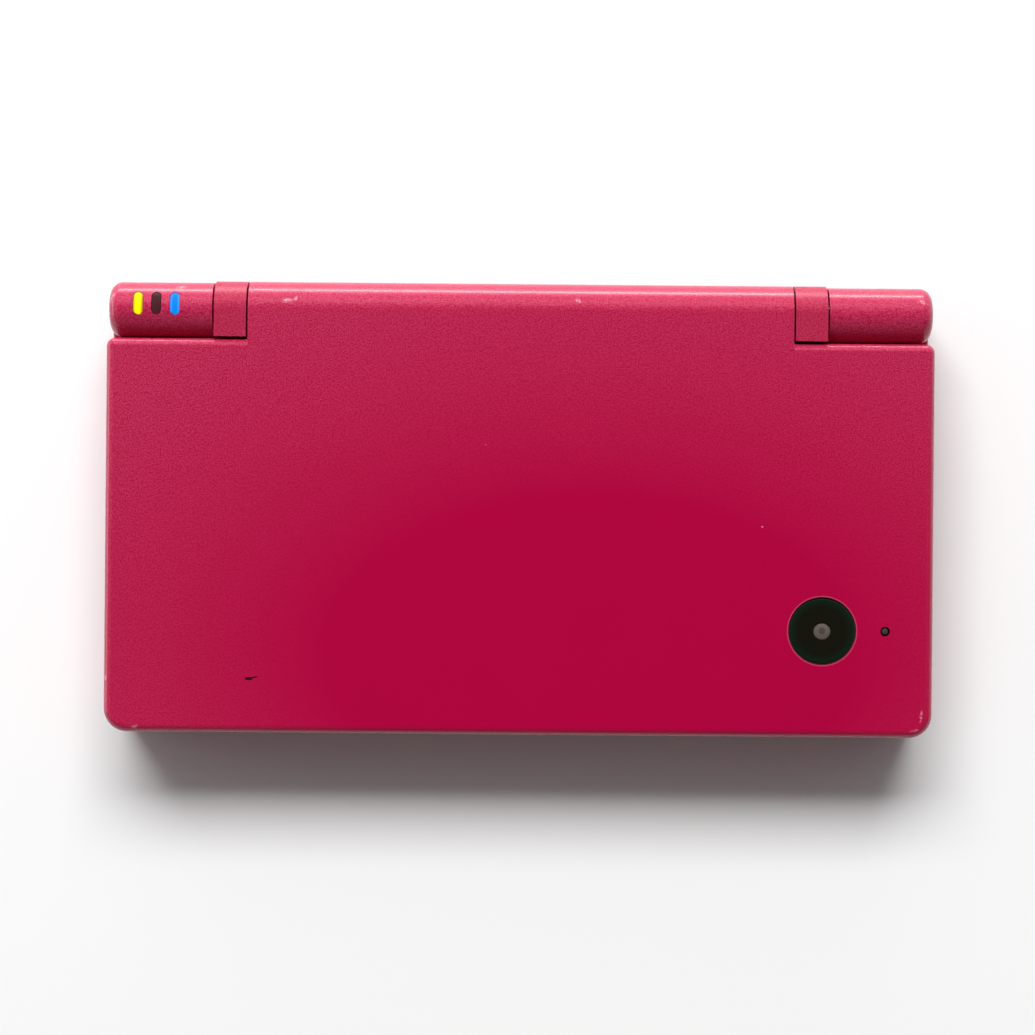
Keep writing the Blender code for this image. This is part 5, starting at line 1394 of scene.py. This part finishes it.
combine(disc, [sight_cone])
settle(disc, "lid", camera_glass, "camera_glass", "camera_window")
# A black ring sunk in the gap round the camera window: partly the dark frame under the window, partly a
# stand-in for the shade in the gap
gasket = add_rod(
    "camera_gasket", "Z", camera, window_low.z - GAP + NEAR, lid_top - GASKET_SUNK,
    CAMERA_POCKET_RADIUS - NEAR, ROUND_SIDES,
)
glass = add_rod("glass", "Z", camera, window_low.z - GAP, lid_top, window_radius + NEAR, ROUND_SIDES)
combine(gasket, [glass])
settle(gasket, "lid", black_plastic, "black_plastic")
lens_glass = glass_finish("lens_glass", ringed, camera, *LENS_RING, LENS_CORE, LENS_BROWN)
module_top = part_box("outer_camera")[1].z
lens_top = window_high.z - LENS_SUNK
lens = add_turned("camera_lens", "Z", camera, (
    (module_top + NEAR, LENS_BARREL_RADIUS), (window_low.z - GAP, LENS_BARREL_RADIUS),
    (window_low.z - GAP, LENS_RADIUS - NEAR), (lens_top - LENS_CROWN, LENS_RADIUS - NEAR),
    *rings(lens_top, LENS_CROWN, LENS_RADIUS, LENS_RINGS),
), sides=64)
settle(lens, "lid", lens_glass, "camera_glass")
refinish(black_plastic, "outer_camera")
pipe_low, pipe_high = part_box("camera_light")
pipe_radius = radius_of("camera_light")
pipe_finish = glass_finish("light_pipe", ringed, indicator, *PIPE_RING, PIPE_GREY, PIPE_RIM)
pipe = add_turned("camera_pipe", "Z", indicator, (
    (pipe_low.z, pipe_radius), *rings(pipe_high.z, pipe_radius, pipe_radius, PIPE_RINGS),
), SMALL_SIDES)
settle(pipe, "lid", pipe_finish, "light_dark", "camera_light")
eye = middle_of("inner_camera")
eye_radius = radius_of("inner_camera")
eye_glass = glass_finish("inner_camera_glass", ringed, eye, *EYE_RING, LENS_BROWN, GLASS_BLACK)
inner_eye = add_turned("inner_camera_eye", "Z", eye, (
    (inner_camera_high.z, eye_radius), (inner_camera_low.z + WINDOW_EDGE, eye_radius),
    (inner_camera_low.z, eye_radius - WINDOW_EDGE),
    *rings(inner_camera_low.z, -LENS_CROWN, eye_radius, EYE_RINGS),
), sides=48)
settle(inner_eye, "lid", eye_glass, "camera_glass", "inner_camera")


# Setting: a pale floor, a white background, and soft light from the rear left, with the photograph's camera
# straight above the closed lid. None of it is part of the console.
FLOOR_HALF = 0.8
FLOOR_WHITE = (0.92, 0.92, 0.92, 1)
FLOOR_ROUGHNESS = 0.9
CAMERA_HEIGHT = 0.400
VIEW_WIDTH = 0.1707
VIEW_CENTRE = (-0.0003, -0.0015)
VIEW_TURN = radians(0.5)
SKY_BRIGHT = 0.62
SKY_DARK = 0.09
SKY_OVERHEAD = 0.0
SKY_SIDE = (-0.35, 0.92, 0)
# Ends of the ranges that the sky brightens over, goes dark overhead over, and ends low down in mirrors over
BRIGHTENS = (-0.4, 0.9)
OVERHEAD = (0.84, 0.995)
BACKDROP = (0.10, 0.35)
# Place, size and power of each lamp
LAMPS = {
    "window_light": ((-0.14, 1.28, 1.45), (1.6, 0.72), 47.0),
    "rear_strip": ((-0.10, 1.30, 0.06), (1.2, 0.12), 9.0),
    "left_strip": ((-1.30, 0.10, 0.16), (0.8, 0.12), 2.0),
}

bpy.ops.object.select_all(action="DESELECT")
bpy.ops.mesh.primitive_plane_add(size=2 * FLOOR_HALF)
floor = just_added("floor")
paper, tree, shader = new_finish("pale_floor", Base_Color=FLOOR_WHITE, Roughness=FLOOR_ROUGHNESS)
lit = tree.nodes["Principled BSDF"].outputs[0]
clear = add_node(tree, "BsdfTransparent").outputs[0]
below = add_node(tree, "NewGeometry").outputs["Backfacing"]
shown = add_node(tree, "MixShader", {0: below, 1: lit, 2: clear}).outputs[0]
tree.links.new(shown, tree.nodes["Material Output"].inputs["Surface"])
floor.data.materials.append(paper)

world = bpy.data.worlds.new("soft_sky")
bpy.context.scene.world = world
world.use_nodes = True
tree = world.node_tree
direction = add_node(tree, "TexCoord").outputs["Generated"]
upward = add_node(tree, "SeparateXYZ", {0: direction}).outputs["Z"]
side = vectors(tree, "DOT_PRODUCT", direction, SKY_SIDE)["Value"]
around = ranged(tree, side, *BRIGHTENS, SKY_DARK, SKY_BRIGHT)
overhead = ranged(tree, upward, *OVERHEAD, 1.0, SKY_OVERHEAD, interpolation_type="SMOOTHSTEP")
level = maths(tree, "MULTIPLY", around, overhead)
paths = add_node(tree, "LightPath").outputs
mirrored = maths(tree, "MAXIMUM", paths["Is Glossy Ray"], paths["Is Transmission Ray"])
backdrop = maths(tree, "MULTIPLY", mirrored, ranged(tree, upward, *BACKDROP, 1.0, 0.0))
white = maths(tree, "MAXIMUM", paths["Is Camera Ray"], backdrop)
strength = maths(tree, "MAXIMUM", level, white)
tree.links.new(strength, tree.nodes["Background"].inputs["Strength"])
tree.nodes["Background"].inputs["Color"].default_value = (1, 1, 1, 1)

for name, (place, size, power) in LAMPS.items():
    bpy.ops.object.light_add(type="AREA", location=place)
    lamp = bpy.context.object
    lamp.name = name
    lamp.data.shape = "RECTANGLE"
    lamp.data.size, lamp.data.size_y = size
    lamp.data.energy = power
    lamp.rotation_mode = "QUATERNION"
    lamp.rotation_quaternion = (-Vector(place)).to_track_quat("-Z", "Y")
    lamp.visible_camera = False
    # The window lights the case and isn't mirrored in it
    lamp.visible_glossy = name != "window_light"

bpy.ops.object.camera_add(location=(*VIEW_CENTRE, lid_top + CAMERA_HEIGHT), rotation=(0, 0, VIEW_TURN))
camera_object = bpy.context.object
camera_object.data.lens = camera_object.data.sensor_width * CAMERA_HEIGHT / VIEW_WIDTH
bpy.context.scene.camera = camera_object
bpy.context.scene.view_settings.view_transform = "Standard"
